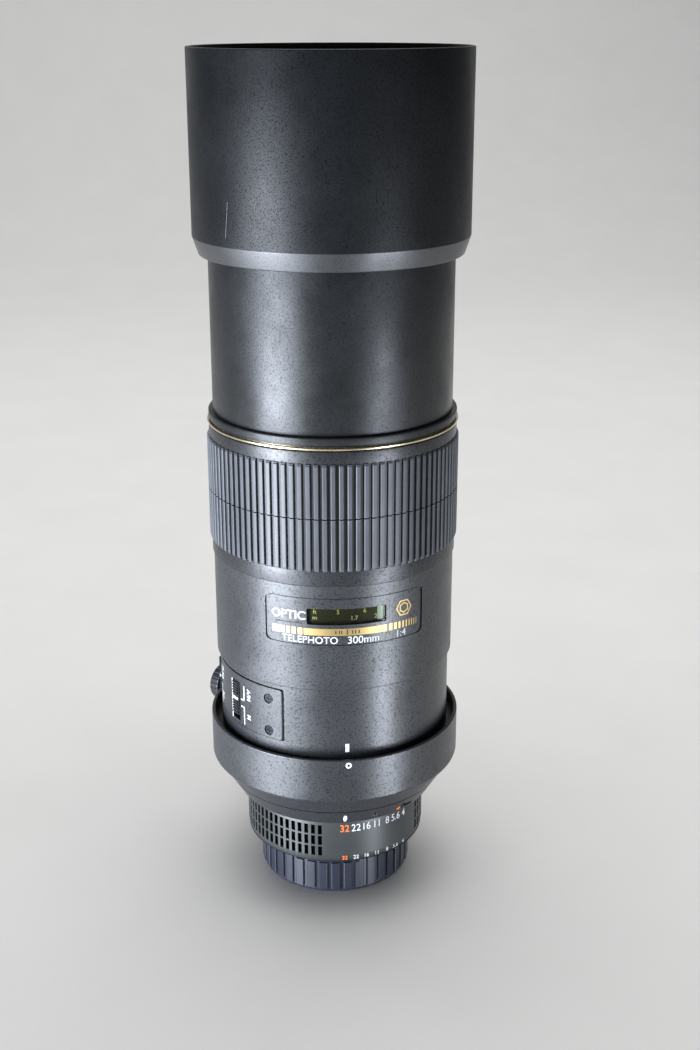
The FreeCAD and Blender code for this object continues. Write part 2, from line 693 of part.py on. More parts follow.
def make_tail_barrel():
    """Conical tail with the sleeve the aperture ring turns on."""
    sleeve_bottom = D.flange_plane + D.flange_depth + D.running_gap
    pocket = D.barrel_spigot + D.running_gap
    seam_top = D.tail_seam_z + D.tail_seam_width
    seam_floor = D.tail_seam_radius - D.tail_seam_depth
    cone_slope = 0.62
    blank = turned("tail_barrel_turned", [
        (D.tail_floor_bore, sleeve_bottom), (D.tail_sleeve_radius, sleeve_bottom),
        (D.tail_sleeve_radius, D.tail_step_z), (D.tail_step_radius, D.tail_step_z),
        (D.tail_seam_radius, D.tail_seam_z), (seam_floor, D.tail_seam_z),
        (seam_floor, seam_top), (D.tail_seam_radius + D.tail_seam_width * cone_slope, seam_top),
        (D.tail_top_radius, D.tail_top),
        (pocket, D.tail_top), (pocket, D.tail_socket_z), (D.tail_socket_bore, D.tail_socket_z),
        (D.tail_socket_bore, D.tail_ledge_z), (D.tail_bore, D.tail_ledge_z),
        (D.tail_bore, D.tail_floor_top), (D.tail_floor_bore, D.tail_floor_top),
    ])
    round_rims(blank, 0.5, (D.tail_step_radius, D.tail_step_z))
    slot_azimuth = D.lock_azimuth + 1.5
    tools = [radial_box("lock_slot", slot_azimuth, D.lock_slot_floor, D.tail_skin,
                        D.lock_slot_width, D.lock_slot_bottom, D.lock_slot_height)]
    for index, azimuth in enumerate(MOUNT_SCREW_AZIMUTHS):
        place = upright(azimuth, D.mount_screw_reach, sleeve_bottom - 0.5)
        tools.append(primitive("Cylinder", f"tail_hole_{index + 1}", place, Radius=0.85, Height=2.6))
    for index, azimuth in enumerate(TAIL_SCREW_AZIMUTHS):
        tools.append(radial_pin(f"tail_screw_hole_{index + 1}", azimuth, D.tail_screw_floor,
                                D.tail_skin, D.tail_screw_hole, D.tail_screw_z))
    return cut("tail_barrel", blank, group("tail_cutters", tools))


def make_tail_screws():
    """Three small grub screws in the tail's cone."""
    screws = []
    for index, azimuth in enumerate(TAIL_SCREW_AZIMUTHS):
        place = outward(azimuth, D.tail_screw_reach, D.tail_screw_z)
        screws.append(screw(f"tail_screw_{index + 1}", place, 1.1, 0.9, 0.8, 1.1))
    return group("tail_screws", screws)


def make_aperture_ring():
    """Ring that sets the f-number."""
    ring = tube("aperture_ring", D.tail_sleeve_radius + D.running_gap, D.aperture_radius,
                D.aperture_bottom, D.aperture_top)
    return round_rims(ring, 0.5, (D.aperture_radius, D.aperture_bottom),
                      (D.aperture_radius, D.aperture_top))


def make_aperture_lock_lever():
    """Small slider in the tail that holds the aperture ring at its smallest stop."""
    bottom = D.lock_slot_bottom + 0.1
    foot = radial_box("lock_lever_foot", D.lock_azimuth, 33.3, 1.2, 2.2, bottom, 1.3)
    finger = radial_box("lock_lever_finger", D.lock_azimuth, 34.4, 2.5, 1.5, bottom + 0.15, 1.0)
    return fuse("aperture_lock_lever", [foot, finger])


def make_aperture_lever():
    """Stop-down lever that the camera body pushes."""
    skin = 1.2
    blade = radial_box("aperture_lever_blade", D.lever_azimuth, D.lever_reach, skin,
                       D.lever_width, D.lever_bottom, D.lever_height)
    tip = radial_box("aperture_lever_tip", D.lever_azimuth, D.lever_reach - 1.15, 1.3,
                     D.lever_width, D.lever_bottom, skin)
    return fuse("aperture_lever", [blade, tip])


# ---------------------------------------------------------------- tripod collar

def make_tripod_collar():
    """Ring that turns on the barrel, with the foot behind it and a boss for the lock."""
    bore = D.barrel_radius + D.running_gap
    ring = turned("collar_ring", [
        (bore, D.collar_bottom), (D.collar_radius, D.collar_bottom),
        (D.collar_radius, D.collar_top), (D.collar_recess_radius, D.collar_top),
        (D.collar_recess_radius, D.collar_recess_z), (bore, D.collar_recess_z),
    ])
    round_rims(ring, 1.4, (D.collar_radius, D.collar_bottom))
    round_rims(ring, 0.5, (D.collar_radius, D.collar_top), (D.collar_recess_radius, D.collar_top))
    stem_root = D.collar_radius - 2.0
    stem_reach = D.foot_face - D.foot_thickness - stem_root + 0.5
    stem = radial_box("foot_stem", 180, stem_root, stem_reach, D.stem_width,
                      D.stem_bottom, D.stem_height)
    boss_root = D.collar_radius - 1.2
    boss = radial_pin("lock_boss", D.knob_azimuth, boss_root, D.boss_face - boss_root,
                      D.boss_radius, D.knob_z)
    plate = make_foot_plate()
    blank = fuse("collar_blank", [ring, stem, boss, plate])
    shank_hole = radial_pin("lock_hole", D.knob_azimuth, D.recess_wall, D.boss_reach,
                            D.knob_bore + D.running_gap, D.knob_z)
    insert_hole = radial_pin("insert_hole", 180, D.foot_face - D.insert_length, 12.0,
                             D.insert_radius + D.seat_gap, D.foot_hole_z)
    return cut("tripod_collar", blank, group("collar_cutters", [shank_hole, insert_hole]))


def make_foot_plate():
    """Foot plate along the barrel, rounded on the corners its face shows."""
    inner = D.foot_face - D.foot_thickness
    box = radial_box("foot_box", 180, inner, D.foot_thickness, D.foot_width,
                     D.foot_bottom, D.foot_length)
    DOC.recompute()
    plate = DOC.addObject("Part::Fillet", "foot_plate")
    plate.Base = box
    plate.Edges = [
        (index, 4.0, 4.0)
        for index, edge in enumerate(box.Shape.Edges, start=1)
        if abs(edge.tangentAt(edge.FirstParameter).y) > 0.99
    ]
    return plate


def make_thread_insert():
    """Steel insert with the tripod thread."""
    start = D.foot_face - D.insert_length + D.seat_gap
    solid = radial_pin("insert_solid", 180, start, D.insert_length - D.seat_gap,
                       D.insert_radius, D.foot_hole_z)
    hole = radial_pin("insert_thread", 180, start, D.insert_length, D.thread_radius, D.foot_hole_z)
    return cut("tripod_thread_insert", solid, hole)


def make_lock_knob():
    """Round knob with a hub, finely fluted, that tightens the collar."""
    body = turned("lock_knob_turned", [
        (D.knob_bore, 0), (D.knob_hub_radius, 0), (D.knob_hub_radius, D.knob_hub_depth),
        (D.knob_radius, D.knob_hub_depth), (D.knob_radius, D.knob_depth), (D.knob_bore, D.knob_depth),
    ])
    round_rims(body, 0.6, (D.knob_radius, D.knob_hub_depth), (D.knob_radius, D.knob_depth))
    body.Placement = outward(D.knob_azimuth, D.knob_reach, D.knob_z)
    flute_count = 24
    flute_radius = 0.5
    flutes = []
    for index in range(flute_count):
        spin = FreeCAD.Placement(FreeCAD.Vector(), FreeCAD.Rotation(UP, 360 / flute_count * index))
        place = shifted(body.Placement.multiply(spin), across=D.knob_radius + 0.25,
                        up=D.knob_hub_depth - 1.0)
        flutes.append(primitive("Cylinder", f"knob_flute_{index + 1}", place,
                                Radius=flute_radius, Height=D.knob_depth + 2.0))
    return cut("collar_lock_knob", body, group("knob_flutes", flutes))


def make_lock_screw():
    """Threaded shank of the lock knob, down to the barrel."""
    start = D.barrel_radius + 2.2
    return radial_pin("collar_lock_screw", D.knob_azimuth, start, D.knob_reach + 5.0 - start,
                      D.knob_bore - D.seat_gap, D.knob_z)


# ---------------------------------------------------------------- barrels

def make_main_barrel():
    """Tube that carries everything, from the tail to the trim ring."""
    foot = D.tail_socket_z + D.running_gap
    shoulder = D.tail_top + D.seat_gap
    neck = D.upper_bottom - D.seat_gap
    blank = turned("main_barrel_turned", [
        (D.barrel_bore, foot), (D.barrel_spigot, foot),
        (D.barrel_spigot, shoulder), (D.barrel_radius, shoulder),
        (D.barrel_radius, neck), (D.barrel_neck, neck),
        (D.barrel_neck, D.barrel_top), (D.barrel_bore, D.barrel_top),
    ])
    pocket = curved_plate("panel_pocket", D.panel_azimuth, D.panel_half_angle + D.panel_groove * 1.4,
                          D.barrel_radius - D.panel_skin - D.running_gap, D.barrel_radius + 1.0,
                          D.panel_bottom - 0.15, D.panel_top + D.panel_groove, 1.0)
    holes = [radial_pin(f"barrel_screw_hole_{index + 1}", azimuth, 37.2, 3.0, 0.85, height)
             for index, (azimuth, height) in enumerate(panel_screw_spots())]
    return cut("main_barrel", blank, group("barrel_cutters", [pocket] + slider_slots("barrel") + holes))


def slider_slots(owner):
    """Slots the two sliders move in, with a small gap all round."""
    gap = 0.15
    height = D.switch_height + D.switch_travel + gap * 2
    return [radial_box(f"{owner}_slot_{index + 1}", azimuth, 30.0, 15.0, D.switch_width + gap * 2,
                       D.switch_bottom - gap, height)
            for index, azimuth in enumerate((D.mode_azimuth, D.limit_azimuth))]


def panel_screw_spots():
    """Azimuth and height of the four panel screws."""
    return [(D.panel_azimuth + D.panel_screw_azimuth * side, D.panel_screw_z + D.panel_screw_rise * end)
            for side in (1, -1) for end in (1, -1)]


def make_switch_panel():
    """Panel let into the barrel round the two switches."""
    plate = curved_plate("switch_panel_plate", D.panel_azimuth, D.panel_half_angle,
                         D.barrel_radius - D.panel_skin, D.barrel_radius - D.running_gap,
                         D.panel_bottom, D.panel_top, 0.5)
    holes = [radial_pin(f"panel_screw_hole_{index + 1}", azimuth, 38.0, 4.0,
                        D.panel_screw_radius + 0.35, height)
             for index, (azimuth, height) in enumerate(panel_screw_spots())]
    return cut("switch_panel", plate, group("panel_cutters", slider_slots("panel") + holes))


def make_panel_screws():
    """Four cross-head screws through the switch panel into the barrel."""
    head_depth = 0.5
    head_top = D.barrel_radius - D.panel_skin + head_depth
    screws = [screw(f"panel_screw_{index + 1}", outward(azimuth, head_top, height),
                    D.panel_screw_radius.value, head_depth, 0.8, 1.8)
              for index, (azimuth, height) in enumerate(panel_screw_spots())]
    return group("switch_panel_screws", screws)


def make_slider(label, azimuth):
    """Switch slider with ridges to both sides of its index, at the upper end of its travel."""
    bottom = D.switch_bottom + D.switch_travel
    middle = bottom + D.switch_height / 2
    stem = radial_box(f"{label}_stem", azimuth, 36.6, 3.4, D.switch_width - 0.6, bottom + 0.3,
                      D.switch_height - 0.6)
    cap = radial_box(f"{label}_cap", azimuth, D.slider_face - 0.85, 0.85, D.switch_width,
                     bottom, D.switch_height)
    ridge_width = 0.5
    ridges = []
    for index, step in enumerate((-5.5, -4.5, -3.5, -2.5, -1.5, 1.5, 2.5, 3.5, 4.5, 5.5)):
        ridges.append(radial_box(f"{label}_ridge_{index + 1}", azimuth, D.slider_face - 0.1,
                                 D.ridge_height + 0.1, D.switch_width - 0.8,
                                 middle + step - ridge_width / 2, ridge_width))
    return fuse(label, [stem, cap] + ridges)


def make_upper_barrel():
    """Sleeve over the distance scale, with a pocket for the name plate and the window."""
    bore = D.barrel_neck + D.seat_gap
    wide = D.barrel_neck + 1.3
    room_top = D.upper_top - 2.9
    room_bottom = D.upper_bottom + 2.0
    blank = turned("upper_barrel_turned", [
        (bore, D.upper_bottom), (D.upper_radius, D.upper_bottom),
        (D.upper_radius, D.upper_top), (bore, D.upper_top), (bore, room_top),
        (wide, room_top), (wide, room_bottom), (bore, room_bottom),
    ])
    round_rims(blank, 0.4, (D.upper_radius, D.upper_bottom))
    pocket = curved_plate("plate_pocket", 0, D.plate_half_angle + 0.35,
                          D.upper_radius - D.plate_skin - D.seat_gap, D.upper_radius + 1.0,
                          D.plate_bottom - 0.25, D.plate_top + 0.25, 1.8)
    opening = curved_plate("window_opening", 0, D.window_half_angle, 35.0, D.upper_radius + 1.0,
                           D.window_bottom, D.window_top, 0.5)
    return cut("upper_barrel", blank, fuse("upper_cutters", [pocket, opening]))


def make_name_plate():
    """Thin plate that carries the lettering, with an opening for the window."""
    plate = curved_plate("name_plate_blank", 0, D.plate_half_angle,
                         D.upper_radius - D.plate_skin, D.upper_radius - D.running_gap,
                         D.plate_bottom, D.plate_top, 1.6)
    opening = curved_plate("plate_opening", 0, D.window_half_angle, 35.0, D.upper_radius + 1.0,
                           D.window_bottom, D.window_top, 0.5)
    return cut("name_plate", plate, opening)


def make_scale_window():
    """Clear window over the distance scale."""
    return curved_plate("scale_window", 0, D.window_half_angle - 0.1,
                        D.barrel_neck + 1.35, D.upper_radius - 0.2,
                        D.window_bottom + 0.05, D.window_top - 0.05, 0.45)


def make_distance_drum():
    """Drum with the distance scale, under the window."""
    return tube("distance_drum", D.barrel_neck + D.running_gap, D.barrel_neck + 0.85,
                D.drum_bottom, D.drum_top)


def make_focus_ring():
    """Metal focus ring with a seat for the rubber."""
    bore = D.barrel_neck + D.running_gap
    ring = turned("focus_ring", [
        (bore, D.focus_bottom), (D.focus_radius, D.focus_bottom),
        (D.focus_radius, D.grip_bottom), (D.grip_seat, D.grip_bottom),
        (D.grip_seat, D.grip_top), (D.focus_radius, D.grip_top),
        (D.focus_radius, D.focus_top), (bore, D.focus_top),
    ])
    return round_rims(ring, 0.3, (D.focus_radius, D.focus_bottom), (D.focus_radius, D.focus_top))


def make_focus_grip():
    """Rubber sleeve on the focus ring."""
    bottom = D.grip_bottom + D.seat_gap
    top = D.grip_top - D.seat_gap
    grip = tube("focus_grip", D.grip_seat + D.seat_gap, D.grip_radius, bottom, top)
    return round_rims(grip, 0.4, (D.grip_radius, bottom), (D.grip_radius, top))


def make_gold_ring():
    """Thin ring in front of the focus ring."""
    ring = tube("gold_ring", D.barrel_neck + D.seat_gap, D.gold_radius, D.gold_bottom, D.gold_top)
    return round_rims(ring, 0.35, (D.gold_radius, D.gold_bottom), (D.gold_radius, D.gold_top))


def make_front_trim_ring():
    """Ring between the gold ring and the front tube."""
    low = D.gold_top + D.seat_gap
    step = D.gold_top + 0.65
    bore = D.barrel_neck + D.seat_gap
    neck = D.trim_radius - 0.6
    lip = D.barrel_top + D.seat_gap
    ring = turned("front_trim_ring", [
        (bore, low), (neck, low), (neck, step), (D.trim_radius, step),
        (D.trim_radius, D.trim_top), (D.barrel_spigot, D.trim_top), (D.barrel_spigot, lip),
        (bore, lip),
    ])
    return round_rims(ring, 0.5, (D.trim_radius, D.trim_top))


def make_front_barrel():
    """Front tube with the filter thread, plugged into the main barrel."""
    spigot = D.barrel_bore - D.seat_gap * 2
    shoulder = D.trim_top + D.seat_gap
    thread_end = D.front_top - D.filter_depth
    tube_body = turned("front_barrel", [
        (D.plug_bore, D.plug_bottom), (spigot, D.plug_bottom), (spigot, shoulder),
        (D.front_radius, shoulder), (D.front_radius, D.front_top),
        (D.filter_radius, D.front_top), (D.filter_radius, thread_end),
        (D.front_bore, thread_end), (D.front_bore, D.trim_top + 5.0),
        (D.plug_bore, D.trim_top + 3.0),
    ])
    return round_rims(tube_body, 0.3, (D.front_radius, D.front_top))


def make_hood_stop_ring():
    """Ring that keeps the hood from sliding off the front."""
    return tube("hood_stop_ring", D.front_radius + D.seat_gap, D.stop_radius,
                D.hood_shoulder + 0.8, D.front_top - 0.4)


# ---------------------------------------------------------------- hood

def make_hood_shell():
    felt = D.felt_radius + D.seat_gap
    floor = D.hood_shoulder + 0.3
    shell = turned("hood_shell", [
        (D.hood_collar_bore, D.hood_bottom), (D.hood_bottom_radius, D.hood_bottom),
        (D.hood_radius, D.hood_shoulder), (D.hood_radius, D.hood_top),
        (D.hood_bore + 0.3, D.hood_top), (D.hood_bore, D.hood_top - 1.6),
        (D.hood_bore, floor), (D.hood_collar_bore, floor),
        (D.hood_collar_bore, D.felt_top), (felt, D.felt_top),
        (felt, D.felt_bottom), (D.hood_collar_bore, D.felt_bottom),
    ])
    return round_rims(shell, 0.25, (D.hood_radius, D.hood_shoulder), (D.hood_radius, D.hood_top),
                      (D.hood_bottom_radius, D.hood_bottom))


def make_hood_felt():
    """Felt band that the hood slides on."""
    return tube("hood_felt", D.front_radius + D.running_gap, D.felt_radius,
                D.felt_bottom + D.seat_gap, D.felt_top - D.seat_gap)


# ---------------------------------------------------------------- glass

def make_front_cell():
    """Tube that holds the front glass, seated in the front barrel."""
    outer = D.front_bore - D.seat_gap * 2
    glass_seat = D.front_element_radius + D.running_gap
    pair_seat = D.front_doublet_upper_radius + 0.1
    opening = pair_seat - 3.0
    return turned("front_cell", [
        (opening, D.front_cell_bottom), (outer, D.front_cell_bottom), (outer, D.front_cell_top),
        (glass_seat, D.front_cell_top), (glass_seat, D.pair_seat_top),
        (pair_seat, D.pair_seat_top), (pair_seat, D.pair_seat_floor), (opening, D.pair_ledge),
    ])


def make_front_retaining_ring():
    """Ring with a lip that holds the front element in its cell."""
    outer = D.front_bore - D.seat_gap * 2
    lip = D.front_element_radius
    bore = lip - 1.3
    seat = D.front_cell_top + D.running_gap
    bottom = seat - 4.45
    top = seat + 2.35
    return turned("front_retaining_ring", [
        (bore, bottom), (lip, bottom), (lip, seat), (outer, seat), (outer, top), (bore, top),
    ])


def make_glass():
    """Single elements and cemented pairs, from the front to the rear."""
    return [
        lens_element("front_element"), doublet("front_doublet"), doublet("focus_front_doublet"),
        doublet("focus_rear_doublet"), doublet("rear_doublet"), lens_element("rear_element"),
    ]


def make_rear_cell():
    """Cell for the rear glass, with a flange that seats in the barrel."""
    opening = D.rear_cell_bore - 1.65
    lip = D.rear_doublet_upper_top + 0.6
    flange_top = D.rear_flange_z + D.rear_flange_depth
    return turned("rear_cell", [
        (D.rear_cell_bore, D.rear_cell_bottom), (D.rear_cell_radius, D.rear_cell_bottom),
        (D.rear_cell_radius, D.rear_flange_z), (D.iris_radius, D.rear_flange_z),
        (D.iris_radius, flange_top), (opening, flange_top), (opening, lip), (D.rear_cell_bore, lip),
    ])


def make_rear_retaining_ring():
    """Ring that holds the rear element in its cell."""
    outer = D.rear_cell_bore - D.running_gap
    bottom = D.rear_cell_bottom + 0.2
    return tube("rear_retaining_ring", outer - 1.4, outer, bottom, bottom + 2.1)


# ---------------------------------------------------------------- focusing mechanism

def guide_slot(name, azimuth):
    """Straight slot in the guide tube for one cam follower."""
    far_side = D.focus_travel * (D.cam_turn - D.cam_near_turn) / D.cam_turn
    near_side = D.focus_travel * D.cam_near_turn / D.cam_turn
    margin = D.pin_radius + 0.3
    bottom = D.pin_z - near_side - margin
    return radial_box(name, azimuth, 25.0, 12.0, D.pin_radius * 2 + D.running_gap * 2, bottom,
                      far_side + near_side + margin * 2)


def make_inner_barrel():
    """Fixed guide tube with three straight slots."""
    flange = D.barrel_bore - D.seat_gap * 2
    flange_top = D.guide_bottom + 2.0
    blank = turned("inner_barrel_turned", [
        (D.guide_bore, D.guide_bottom), (flange, D.guide_bottom),
        (flange, flange_top), (D.guide_radius, flange_top),
        (D.guide_radius, D.guide_top), (D.guide_bore, D.guide_top),
    ])
    slots = [guide_slot(f"guide_slot_{index + 1}", azimuth)
             for index, azimuth in enumerate(FOLLOWER_AZIMUTHS)]
    return cut("inner_barrel", blank, group("guide_slots", slots))


def make_cam_ring():
    """Ring with three helical slots that drive the followers along the guide slots."""
    body = tube("cam_ring", D.guide_radius + D.running_gap, D.cam_radius, D.cam_bottom, D.cam_top)
    margin = 4.1
    rise = D.focus_travel / D.cam_turn
    start = D.cam_near_turn + margin
    half_slot = D.pin_radius + 0.17
    middle = D.pin_z - rise * start
    inner = D.guide_radius - 0.5
    outer = D.cam_radius + 0.5
    profile = new_sketch(body, "cam_slot_profile")
    draw_outline(profile, [
        (inner, middle - half_slot), (outer, middle - half_slot),
        (outer, middle + half_slot), (inner, middle + half_slot),
    ])
    slot = body.newObject("PartDesign::SubtractiveHelix", "cam_slot")
    slot.Profile = profile
    slot.ReferenceAxis = (profile, ["V_Axis"])
    slot.Mode = 0
    bind(slot, "Pitch", rise * 360)
    bind(slot, "Height", rise * (D.cam_turn + margin * 2))
    slot.LeftHanded = False
    body.Tip = slot
    pattern(body, slot, 3)
    body.Placement = FreeCAD.Placement(FreeCAD.Vector(), FreeCAD.Rotation(UP, -start.value))
    return body


def make_focus_cell():
    """Sliding cell of the focusing group, drilled for the followers."""
    front_seat = D.focus_front_doublet_upper_radius + D.running_gap
    rear_seat = D.focus_rear_doublet_upper_radius + D.running_gap
    opening = rear_seat - 1.85
    rib_bottom = D.pin_z - 2.0
    rib_top = D.pin_z + 1.2
    blank = turned("focus_cell_turned", [
        (rear_seat, D.cell_bottom), (D.cell_radius, D.cell_bottom), (D.cell_radius, D.cell_top),
        (front_seat, D.cell_top), (front_seat, rib_top), (opening, rib_top),
        (opening, rib_bottom), (rear_seat, rib_bottom),
    ])
    holes = [radial_pin(f"follower_hole_{index + 1}", azimuth, 29.0, 4.0,
                        D.pin_radius - 0.5 + D.seat_gap, D.pin_z)
             for index, azimuth in enumerate(FOLLOWER_AZIMUTHS)]
    return cut("focus_cell", blank, group("follower_holes", holes))


def make_cam_follower_pins():
    """Three stepped pins from the focus cell through the guide slots into the cam slots."""
    shank_start = 29.1
    roller_start = D.cell_radius + 0.1
    pins = []
    for index, azimuth in enumerate(FOLLOWER_AZIMUTHS):
        shank = radial_pin(f"follower_shank_{index + 1}", azimuth, shank_start, 2.5,
                           D.pin_radius - 0.5, D.pin_z)
        roller = radial_pin(f"follower_roller_{index + 1}", azimuth, roller_start, 3.4,
                            D.pin_radius, D.pin_z)
        pins.append(fuse(f"follower_pin_{index + 1}", [shank, roller]))
    return group("cam_follower_pins", pins)


def make_motor_rotor():
    """Ring of the ultrasonic motor that turns the cam ring."""
    return tube("motor_rotor", D.guide_radius + D.running_gap, D.motor_radius - 0.1,
                D.cam_top + D.seat_gap, D.cam_top + 4.0)


def make_motor_stator():
    """Toothed ring of the ultrasonic motor."""
    tooth_count = 48
    bottom = D.cam_top + 4.1
    blank = tube("motor_stator_turned", D.guide_radius + D.seat_gap, D.motor_radius,
                 bottom, D.cam_top + 9.5)
    gaps = [radial_box(f"stator_gap_{index + 1}", 360 / tooth_count * index, 34.2, 3.0, 0.8,
                       bottom - 0.1, 2.0)
            for index in range(tooth_count)]
    return cut("motor_stator", blank, group("stator_gaps", gaps))


def make_motor_spring():
    """Spring ring that presses the stator onto the rotor."""
    return tube("motor_spring_ring", D.guide_radius + D.seat_gap, D.motor_radius - 0.2,
                D.cam_top + 9.6, D.cam_top + 12.6)


# ---------------------------------------------------------------- iris

def make_iris_housing():
    """Cup that holds the blades and their pivots."""
    top = D.iris_floor + D.iris_height
    floor_top = D.iris_floor + D.iris_floor_depth
    blank = turned("iris_housing_turned", [
        (D.iris_opening, D.iris_floor), (D.iris_radius, D.iris_floor),
        (D.iris_radius, top), (D.iris_bore, top), (D.iris_bore, floor_top),
        (D.iris_opening, floor_top),
    ])
    holes = []
    for index in range(BLADE_COUNT):
        place = upright(BLADE_STEP * index + 90, D.pivot_circle, D.iris_floor)
        holes.append(primitive("Cylinder", f"pivot_hole_{index + 1}", place,
                               Radius=D.pivot_pin + D.running_gap, Height=D.iris_floor_depth))
    return cut("iris_housing", blank, group("pivot_holes", holes))


def drive_pin_offset():
    """Drive pin from the pivot, when the blade is open."""
    angle = math.radians(D.drive_angle.value)
    return FreeCAD.Vector(math.cos(angle), math.sin(angle), 0) * D.drive_arm.value


def make_blade(index):
    """One curved blade with its two pins, turned to its closed position."""
    name = f"iris_blade_{index + 1}"
    floor = D.iris_floor + D.iris_floor_depth
    level = floor + 0.1 + D.blade_pitch * index
    leaf = ring_block(f"{name}_leaf", D.iris_opening, D.blade_outer, level, D.blade_skin, D.blade_sweep)
    tab = ring_block(f"{name}_tab", D.blade_outer - 1.5, D.pivot_circle + 4.4, level, D.blade_skin,
                     sweep=15.5, start=-4.0)
    pivot_foot = D.iris_floor + 0.2
    pivot_place = shifted(FreeCAD.Placement(), D.pivot_circle, 0, pivot_foot)
    pivot = primitive("Cylinder", f"{name}_pivot", pivot_place,
                      Radius=D.pivot_pin, Height=level - pivot_foot + D.blade_skin / 2)
    offset = drive_pin_offset()
    drive_place = shifted(FreeCAD.Placement(), D.pivot_circle.value + offset.x, offset.y, level)
    drive = primitive("Cylinder", f"{name}_drive", drive_place, Radius=D.drive_pin,
                      Height=floor + 2.7 - level)
    blade = fuse(name, [leaf, tab, pivot, drive])
    spot = FreeCAD.Vector(D.pivot_circle.value, 0, 0)
    close = FreeCAD.Placement(FreeCAD.Vector(), FreeCAD.Rotation(UP, D.blade_closing.value), spot)
    around = FreeCAD.Placement(FreeCAD.Vector(), FreeCAD.Rotation(UP, BLADE_STEP * index))
    blade.Placement = around.multiply(close)
    return blade


def drive_slot_point(share):
    """Where the drive pin stands in the drive ring, from closed (0) to open (1)."""
    turn = FreeCAD.Rotation(UP, D.blade_closing.value * (1 - share))
    spot = FreeCAD.Vector(D.pivot_circle.value, 0, 0) + turn.multVec(drive_pin_offset())
    return FreeCAD.Rotation(UP, D.drive_turn.value * share).multVec(spot)


def make_drive_ring():
    """Ring above the blades whose curved slots turn them together."""
    bottom = D.iris_floor + D.iris_floor_depth + 1.6
    blank = ring_block("drive_ring_blank", D.drive_ring_bore, D.drive_ring_radius, bottom,
                       D.drive_ring_height)
    path = Part.Arc(*[drive_slot_point(share) for share in (-0.05, 0.5, 1.05)])
    outline = Part.Wire([path.toShape()]).makeOffset2D(D.drive_pin.value + 0.1, 0, True, False)
    slot = outline.extrude(UP * (D.drive_ring_height.value + 2)).translated(UP * (bottom.value - 1))
    slots = DOC.addObject("Part::Feature", "drive_slots")
    slots.Shape = Part.makeCompound([slot.rotated(FreeCAD.Vector(), UP, BLADE_STEP * index)
                                     for index in range(BLADE_COUNT)])
    return cut("iris_drive_ring", blank, slots)


# ---------------------------------------------------------------- electronics

def make_circuit_board():
    """Ring-shaped circuit board behind the iris."""
    board = ring_block("board_ring", D.board_bore, D.board_radius, D.board_z, D.board_depth)
    chip_bottom = D.board_z + D.board_depth - 0.1
    chips = [radial_box(f"chip_{index + 1}", azimuth, 25.0, 6.0, 6.0, chip_bottom, 1.3)
             for index, azimuth in enumerate((20, 75, 140, 215, 290))]
    return fuse("circuit_board", [board] + chips)


def build_all():
    """Every sub-part of the lens."""
    parts = [
        make_rear_cap(), make_mount_flange(), make_mount_screws(), make_contact_block(),
        make_contact_pins(), make_tail_barrel(), make_tail_screws(), make_aperture_ring(),
        make_aperture_lock_lever(), make_aperture_lever(), make_tripod_collar(),
        make_thread_insert(), make_lock_knob(), make_lock_screw(), make_main_barrel(),
        make_switch_panel(), make_panel_screws(), make_slider("focus_mode_switch", D.mode_azimuth),
        make_slider("focus_limit_switch", D.limit_azimuth), make_upper_barrel(),
        make_name_plate(), make_scale_window(), make_distance_drum(), make_focus_ring(),
        make_focus_grip(), make_gold_ring(), make_front_trim_ring(), make_front_barrel(),
        make_hood_stop_ring(), make_hood_shell(), make_hood_felt(), make_front_cell(),
        make_front_retaining_ring(), make_rear_cell(), make_rear_retaining_ring(),
        make_inner_barrel(), make_cam_ring(), make_focus_cell(), make_cam_follower_pins(),
        make_motor_rotor(), make_motor_stator(), make_motor_spring(), make_iris_housing(),
        make_drive_ring(), make_circuit_board(),
    ]
    parts += make_glass()
    parts += [make_blade(index) for index in range(BLADE_COUNT)]
    return parts


def check(parts):
    """Stop when anything in the document failed or a sub-part has no valid shape."""
    failed = [item.Name for item in DOC.Objects if {"Invalid", "Error"} & set(item.State)]
    if failed:
        raise SystemExit(f"features failed: {failed}")
    bad = [item.Label for item in parts if item.Shape.isNull() or not item.Shape.isValid()]
    if bad:
        raise SystemExit(f"no valid shape: {bad}")


def export(parts):
    os.makedirs("parts", exist_ok=True)
    for item in parts:
        item.Shape.exportStep(f"parts/{item.Label}.step")


PARTS = build_all()
DOC.recompute()
check(PARTS)
export(PARTS)
for item in PARTS:
    print(f"{item.Label}: {len(item.Shape.Solids)} solid, {item.Shape.Volume / 1000:.2f} cm3")
print(len(PARTS), "sub-parts")
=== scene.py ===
import math

import bmesh
import bpy
from mathutils import Matrix, Vector


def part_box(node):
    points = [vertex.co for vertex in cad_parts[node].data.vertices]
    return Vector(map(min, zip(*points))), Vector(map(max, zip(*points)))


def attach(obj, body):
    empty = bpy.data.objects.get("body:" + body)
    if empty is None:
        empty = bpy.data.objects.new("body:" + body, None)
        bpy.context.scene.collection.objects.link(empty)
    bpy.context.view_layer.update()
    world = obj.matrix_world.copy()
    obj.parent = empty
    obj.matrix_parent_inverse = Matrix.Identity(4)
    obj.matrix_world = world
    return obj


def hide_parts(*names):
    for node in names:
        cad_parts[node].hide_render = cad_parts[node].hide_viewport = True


# A telephoto camera lens standing on its rear cap, on a pale studio floor. The frame, the floor and
# the lights are in metres. Sizes of the lens and of the camera's place are in millimetres, and are
# turned into metres where a mesh or the camera is made. Azimuth 0 is the side of the index marks
# (-Y), and a positive azimuth goes towards +X.

